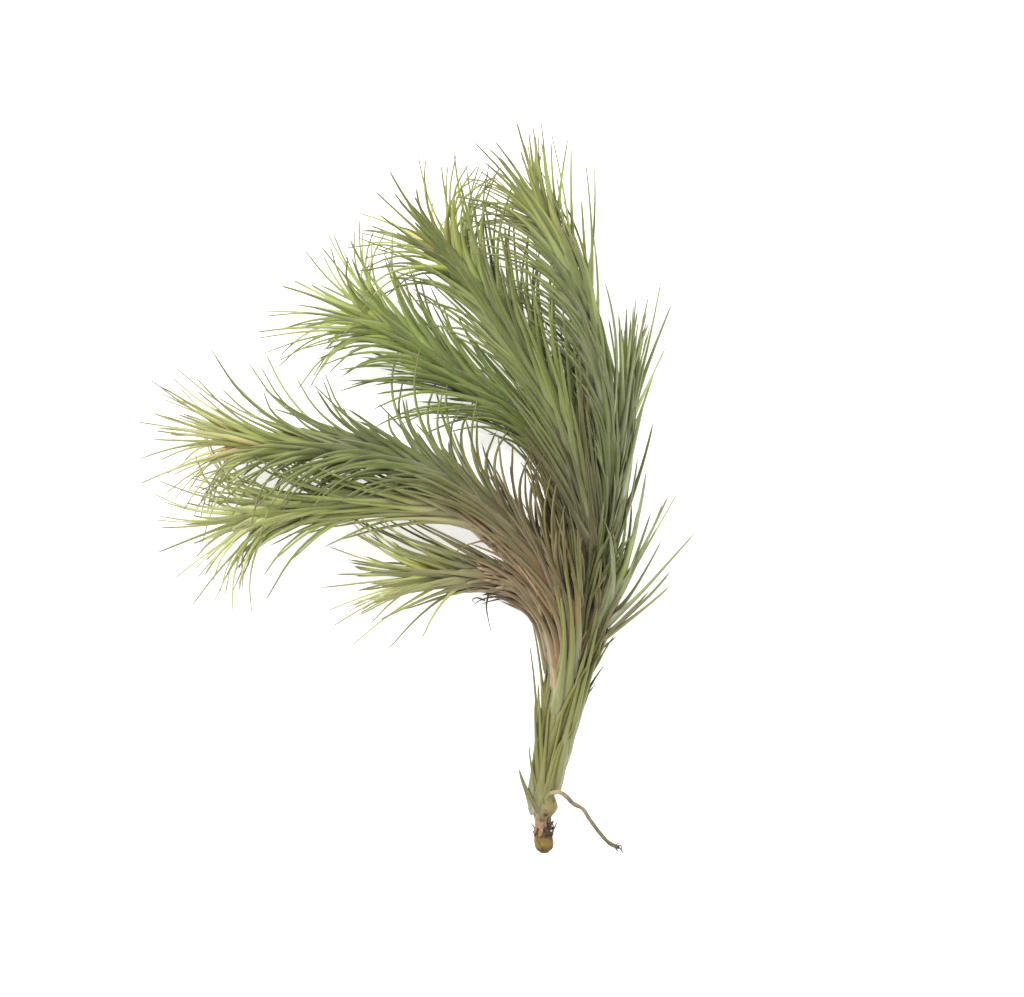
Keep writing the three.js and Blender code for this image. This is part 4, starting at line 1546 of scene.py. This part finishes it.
STEMS = (
    LeafyStem(
        "main_stem", SILVER_GREEN, "leaf_silver_green",
        ((39.5, -91, 4.8), (40.2, -85, 5), (42, -74, 5.2), (45, -62, 5.6), (48, -49.5, 7),
         (50.5, -36, 10), (53.5, -21, 14), (56, -6, 19), (57, 7.5, 23), (57, 21, 27),
         (55.5, 34.5, 30), (52.5, 48, 32), (48, 61, 33), (43, 72, 33), (38, 82, 32)),
        lead=((38.7, -100.6, 3.6), (39, -96.6, 4.2)),
        broad_foot=1.02,
        left=(6, 14, 6, 48, 90), right=(12, 12, 4, 4, 34),
        lean=((0.05, -0.15, 0), (-0.3, -0.3, 0), (-0.15, -0.1, 0)),
        foot_radius=3.2 * MM, short_foot=40 * MM,
        foot_share=0.78, foot_spacing=0.4 * MM, rise=(9, 16),
        tips=((30.4, 110.5), (37.9, 111.1), (40.6, 108.5), (41.2, 105.8), (46.4, 106), (47.2, 104.8),
              (51.1, 98.8), (53.9, 97.6), (42.8, 94.3), (50.2, 88), (53.5, 77.5), (56.9, 62.5),
              (17.2, 103.3), (21.8, 103.3), (23.2, 104.5), (34, 104.5), (13.7, 92.5), (14.2, 89.5),
              (19.1, 85.6), (27.8, 68), (21.1, 96.8), (31.6, 95.5), (46.9, 76.6), (25.9, 77.5),
              (22.3, 80.5), (25.1, 72.1), (31.6, -83.8), (34.6, -75.8), (36.4, -62.8), (34.7, -45.4),
              (35.2, -38), (45.4, -83.2), (47.5, -22.4), (63.4, -2.8)),
        strays=(
            Stray(((42.2, -72, 7), (44, -60, 13), (45.4, -48, 18.6), (45, -37.4, 22.6),
                   (43, -25.6, 25.4)), stage=0.16, tone=0.7),
            Stray(((44.4, -68, 8), (46.6, -56, 14), (47.6, -44.6, 19.4), (46.6, -31, 24.4),
                   (43.6, -15.6, 27.6)), stage=0.12, tone=0.6),
            Stray(((45, -62, 9), (48, -50, 15.6), (49.4, -39.4, 20.4), (49.4, -27, 24.6),
                   (47.8, -11, 28)), stage=0.2, tone=0.5),
            Stray(((43.6, -61, 9.6), (44.8, -51, 15.6), (45, -42, 19.6), (43.2, -32, 23.8),
                   (39.4, -20.6, 26)), stage=0.06, tone=0.7),
            Stray(((46.1, -56, 7), (47.3, -44.9, 14), (47.9, -32, 17.5), (47.9, -22.4, 21),
                   (47, -9, 24)), size=1.15),
            Stray(((42.3, -86, 5), (46, -77, 8.4), (49.4, -65, 11), (53, -50, 14),
                   (56.4, -35, 17)), stage=0.2, tone=0.5),
            Stray(((41.4, -91, 5), (43.8, -83, 8), (46.6, -71, 10.4), (49.8, -57, 13),
                   (52.6, -44, 16)), stage=0.14, tone=0.6, size=1.05),
            Stray(((44.6, -78, 5), (48.4, -69, 8), (52.6, -57, 10), (57, -43, 12.5),
                   (60.6, -31, 15)), stage=0.18, tone=0.4, size=0.95),
            Stray(((41.8, -88.5, 5), (44.6, -81, 6), (47.8, -72.5, 7), (51, -65, 8),
                   (53.4, -58.6, 9)), stage=0.1, tone=0.5),
            Stray(((37.2, -97.4, 3.4), (34.6, -92.6, 4.6), (32.7, -88, 5.4), (31.6, -83.9, 6)),
                  stage=0.3, tone=0.6, size=0.85),
            Stray(((36.8, -96.4, 4.4), (36, -88, 6), (36.6, -78, 7), (37.6, -66, 8)), stage=0.3,
                  tone=0.6, size=0.95),
            Stray(((37.6, -98.2, 5.2), (38.4, -90, 7.6), (39.6, -78, 9), (40.8, -64, 10)),
                  stage=0.05, size=0.95),
            Stray(((42.4, -89.4, 5), (43.9, -86.4, 5.4), (45.5, -83, 5.6)), stage=0.3, tone=0.5,
                  size=0.6),
        ),
        seed=11,
    ),
    LeafyStem(
        "middle_stem", FRESH_GREEN, "leaf_silver_green",
        ((53, -22.5, 15), (53, -16, 20), (51.5, -4.5, 26), (48, 9, 30), (43, 22, 31),
         (36.5, 34.5, 31), (29.5, 45.5, 30), (22.5, 56, 29), (16, 64.5, 28), (10, 71, 27)),
        lead=((46.6, -55, 8.6), (49.6, -42, 11.2), (51.8, -31, 13.6)),
        left=(24, 34, 58, 84), right=(4, 20, 36, 86),
        lean=((-0.1, 0.2, 0), (0.25, 0.15, 0), (0.2, -0.05, 0)),
        rise=(16, 16), blade=Blade(length=49 * MM),
        tips=((1.3, 101.5), (4, 100), (8.5, 97.6), (-7, 95), (-11.8, 89.5), (-17.8, 84.1),
              (12.2, 102.1), (13.3, 101.5), (15.8, 97.6), (17.8, 97), (20.2, 92.5), (23.6, 92.2),
              (26.2, 96.1), (13.9, 92.8), (-17.6, 75.5), (-22.1, 71.2), (-10, 72.1), (-12.4, 82.6),
              (-15.4, 68.5), (-2.9, 68.5), (10.7, 99.8), (33.1, 62.5), (35.9, 57.1)),
        seed=12,
    ),
    LeafyStem(
        "upper_left_stem", ROSE_GREEN, "leaf_silver_green",
        ((49, -45, 8), (46, -36.5, 15), (40.5, -25.5, 20), (32.5, -15, 23), (23, -6, 24),
         (11, 2.5, 24), (-2.5, 9, 23), (-17.5, 12, 22), (-32.5, 13, 20), (-43.5, 13.8, 19),
         (-52.5, 15.2, 18)),
        lead=((43, -68, 7.4), (46, -57, 8)),
        left=(22, 14, 60, 86), right=(40, 68, 68, 30),
        lean=((0.15, 0.15, 0), (0.25, -0.3, 0), (0.05, -0.2, 0)),
        tip_spacing=0.42 * MM, closed=0.8, rise=(11, 15),
        tips=((-85, 20.8), (-80.5, 34.4), (-75.1, 35.5), (-74, 38.9), (-65.8, 34.6), (-60.1, 42.1),
              (-50.5, 39.8), (-46.9, 39.4), (-35.9, 35.2), (-28.9, 30.8), (-21.8, 25.6), (-13.3, 20.8),
              (-7.9, 24.1), (0.1, 20.8), (-78.5, 15.1), (-83.2, 8.8), (-83.2, 1.1), (-79.6, 23.6),
              (-2.5, 48.1), (2.5, 43.6), (7.9, 35.5), (10.9, 39.1), (-45.1, 42.8), (-62.2, 45.1),
              (-70, 8.5)),
        strays=(
            # Their tones alternate high and low, so that every other leaf is darkened with painted
            # shade, as dark crevices between pale ones.
            Stray(((45, -58, 10), (45.4, -47, 17), (42.4, -36.6, 21.6), (36.4, -26.4, 25.4),
                   (28, -17.4, 28.4)), stage=0.1, tone=0.9),
            Stray(((44.4, -60, 9.6), (44, -48.6, 16), (40.4, -38, 20), (33.6, -28, 23.4),
                   (24, -20, 26)), stage=0.06, tone=0.1),
            Stray(((43.6, -62, 9), (42.6, -50.6, 14.4), (38.6, -39.6, 18), (31, -30.4, 20.4),
                   (21.6, -23.6, 22)), stage=0.12, tone=0.8),
            Stray(((46, -57, 10.6), (47.4, -45.6, 18), (46, -34, 23.4), (41.6, -22, 27.6),
                   (34.6, -11, 30.6)), stage=0.16, tone=0.15),
            Stray(((46.6, -55, 11), (49, -43, 18.6), (49, -31, 23.6), (46.4, -18.6, 27),
                   (42, -6, 29.4)), stage=0.04, tone=0.9),
        ),
        seed=13,
    ),
    LeafyStem(
        "back_stem", DARK_GREEN, "leaf_dark_green",
        ((50, -39.5, 9), (48.5, -30, 8.5), (47, -18, 9.5), (45, -3, 11), (40.5, 10, 13),
         (32.5, 20.5, 14), (23.5, 27, 15), (13, 34.5, 16), (3, 42, 17), (-5, 47.5, 18),
         (-13, 51.5, 18)),
        lead=((46.4, -55, 7.4),),
        left=(4, 46, 54, 84), right=(20, 24, 40, 86),
        lean=((0.2, 0, 0), (0, -0.2, 0), (0.1, -0.05, 0)),
        closed=0.95, rise=(16, 16),
        tips=((-42.3, 37.9), (-28.6, 36.6), (-24.3, 35.8),
              (-27.1, 79.6), (-25.1, 79.3), (-19.9, 77.2), (-32.9, 72.5), (-37.9, 64.3), (-39.8, 60.8),
              (-36.1, 56.2), (-48.1, 53.5), (-49, 46.6), (-49.6, 44.9), (-46.9, 40.9), (-41.5, 39.8),
              (-41.2, 35.9), (-27.8, 34.4), (-23.2, 33.4), (-13.3, 31.6), (-1.3, 30.8), (-17.2, 78.8),
              (-12.4, 75.1), (-45.4, 51.8), (-34, 41.5), (-20.6, 41.5)),
        seed=14,
    ),
    LeafyStem(
        "lower_left_stem", YELLOW_GREEN, "leaf_yellow_green",
        ((48, -49.5, 7), (43.4, -38.6, 9), (36.6, -26, 10), (27, -15.6, 11), (14.6, -7.8, 12),
         (0.8, -4.4, 13), (-14.5, -3.8, 14), (-29.5, -5, 14), (-40, -6, 13), (-47.5, -8, 13)),
        lead=((42.4, -71, 6.4), (45.2, -60, 6.8)),
        left=(10, 4, 50, 62), right=(26, 4, 40, 86),
        lean=((-0.15, 0.05, 0), (-0.1, 0.3, 0), (0.15, 0.1, 0)),
        rise=(12, 15),
        tips=((-80, -8.5), (-77.2, -7.3), (-77, -11.2), (-77.2, -19.1), (-73.6, -27.8), (-67.6, -36.1),
              (-61, -35.9), (-56.5, -32.9), (-53.9, -38.9), (-48.8, -38.9), (-45.4, -34.4),
              (-79.6, -0.1), (-76, -2.9), (-65.2, -20.8), (-36.4, -20.8), (-27.4, -17.2),
              (-22.1, -14.8), (-78.5, 3.8)),
        seed=15,
    ),
    LeafyStem(
        "right_stem", GREY_GREEN, "leaf_dark_green",
        ((51, -33.5, 11), (55.5, -25.5, 10), (59, -10.5, 11), (61, 4.5, 13), (62, 16, 14),
         (63, 27, 15)),
        lead=((46.6, -53, 8),),
        left=(10, 14, 78), right=(12, 4, 4),
        lean=((-0.3, 0.3, 0), (-0.3, 0.1, 0), (0.05, 0.2, 0)),
        closed=0.75, rise=(5, 15),
        tips=((74.8, 65.2), (78.1, 57.4), (75.8, 43.6), (72.8, 37.6), (69.5, 28.9), (72.1, 20.8),
              (66.8, 58.9), (66.1, 56.9), (71, 60.1), (64.3, 55.4), (67.3, 10), (63.1, 48.1)),
        seed=16,
    ),
    LeafyStem(
        "short_left_stem", TAN_GREEN, "leaf_yellow_green",
        ((47.2, -56, 6), (43.6, -43, 7), (37, -32.4, 8), (27, -27, 9), (15.5, -25.2, 10),
         (4.5, -25, 11)),
        lead=((42, -77, 5.6), (44.6, -66, 6)),
        left=(4, 6, 50, 66), right=(8, 30, 26, 72),
        lean=((0.3, -0.1, 0), (-0.1, 0.25, 0), (-0.05, 0.1, 0)),
        bare=(32 * MM, 51 * MM), spacing=0.5 * MM,
        closed=0.95, rise=(15, 16),
        tips=((-30.1, -29.5), (-27.8, -36.8), (-26.2, -41.9), (-20.8, -48.4), (-9.2, -49.4),
              (2.2, -45.1), (-26.6, -16.6), (-24.4, -25.3), (-20.6, -20.8), (-6.5, -14.8),
              (-3.4, -35.9), (-18.4, -12.8), (5, -11.8)),
        strays=(
            Stray(((43.6, -71.9, 5.4), (43.6, -59.9, 10.5), (41.8, -48, 12), (38, -37, 12.4),
                   (32, -29.6, 12.4)), stage=0.3, size=1.1),
            Stray(((43, -69.5, 5), (42.4, -57, 9), (40.4, -46.5, 10), (36, -37.4, 10),
                   (27.4, -32, 9)), stage=0.3, size=1.1),
            Stray(((43, -74, 4.8), (42.6, -60, 7.4), (40.2, -47.5, 8), (35, -37.8, 7.4),
                   (25, -32.8, 6.4)), stage=0.28, tone=0.5),
            Stray(((44, -70.5, 6), (43.4, -58, 12), (40.8, -47, 14), (38.6, -38, 15.5),
                   (36.4, -27, 17)), stage=0.05, size=1.1),
            Stray(((44.6, -56, 6), (40.6, -39.5, 13), (35, -31.4, 15), (27.5, -25, 15),
                   (19.6, -22.6, 13.6)), stage=0.3, tone=0.3),
            Stray(((44, -55, 6), (38.4, -35.6, 13), (32.6, -29.4, 14.6), (25.6, -26.4, 14.8),
                   (17.6, -25.4, 13.4)), stage=0.25, tone=0.7),
            Stray(((43.4, -56, 5), (37, -38.4, 11.4), (31, -32.4, 12.8), (24.4, -29.4, 13),
                   (17, -28.6, 11.6)), stage=0.3, tone=0.2),
            Stray(((42.4, -56.5, 5), (35.4, -38.6, 8.6), (28.8, -33.4, 9.6), (21.6, -31.4, 9)),
                  stage=0.28, tone=0.1),
            Stray(((44.4, -58, 6), (41.4, -44, 12), (37.4, -34.6, 14.8), (32.4, -26.6, 16),
                   (25.4, -21, 15.6)), stage=0.28, tone=0.9),
            Stray(((40, -36, 11), (34, -26.6, 15), (26, -19.8, 16), (16.6, -15.8, 15)),
                  stage=0.26, tone=0.6, size=0.8),
            Stray(((39, -37, 11), (32, -29, 15), (23.6, -23, 16), (13.6, -19.6, 14.6)),
                  stage=0.3, tone=0.4, size=0.8),
            Stray(((40.4, -35, 11), (35, -24.6, 15), (28, -17.4, 15.6), (20, -15.2, 14),
                   (12.6, -18.6, 12), (9.4, -24.6, 10)), stage=0.24, tone=0.7, size=0.6),
        ),
        sheaths=DrySheaths(
            start=(42, 58), turns=(-60, 215),
            withered=(
                ((22.4, -31.4, 4.4), (21.8, -35, 3.2), (22.4, -39, 1.8), (23.3, -43.2, 0.8)),
                ((25, -32, 4.4), (21.4, -32.6, 3.6), (19.2, -33.6, 2.8), (18.2, -34.4, 2.2)),
                ((21.4, -33.2, 3), (18.8, -32.4, 3.2), (17.6, -33, 3), (18.2, -34, 2.6)),
                ((26.4, -32.6, 5), (23, -33.4, 4), (20.6, -34.2, 3.2)),
            ),
        ),
        seed=17,
    ),
    LeafyStem(
        "short_right_stem", GREY_GREEN, "leaf_dark_green",
        ((49, -51, 7), (53.5, -43, 9), (58, -35, 11), (61, -28, 13)),
        lead=((45, -66, 6.6),),
        left=(26, 40, 60), right=(4, 18, 24),
        lean=((-0.3, 0.05, 0), (-0.3, 0.3, 0), (-0.2, -0.1, 0)),
        foot_spacing=1.3 * MM, tip_spacing=0.8 * MM,
        closed=0.65, rise=(6, 12),
        tips=((77, -0.4), (79.6, 0.4), (85, -11.8), (74.8, -14.2), (77.5, -23.8), (79.6, -28.9),
              (71.2, -29.8), (69.5, 6.1), (67.3, -5.8), (61.3, -43.6), (58.9, -44.9), (68, -32.9)),
        seed=18,
    ),
)


def main() -> None:
    """Builds the studio, then the clump piece by piece."""
    logging.basicConfig(level=logging.INFO, format="%(name)s: %(message)s")
    bpy.context.scene.view_settings.view_transform = "Standard"
    Studio().build()
    for part in (CutStub(), WiryRoot(), *STEMS):
        piece = part.build()
        LOG.info("%s: %d faces", part.name, len(piece.data.polygons))


if __name__ == "__main__":
    main()
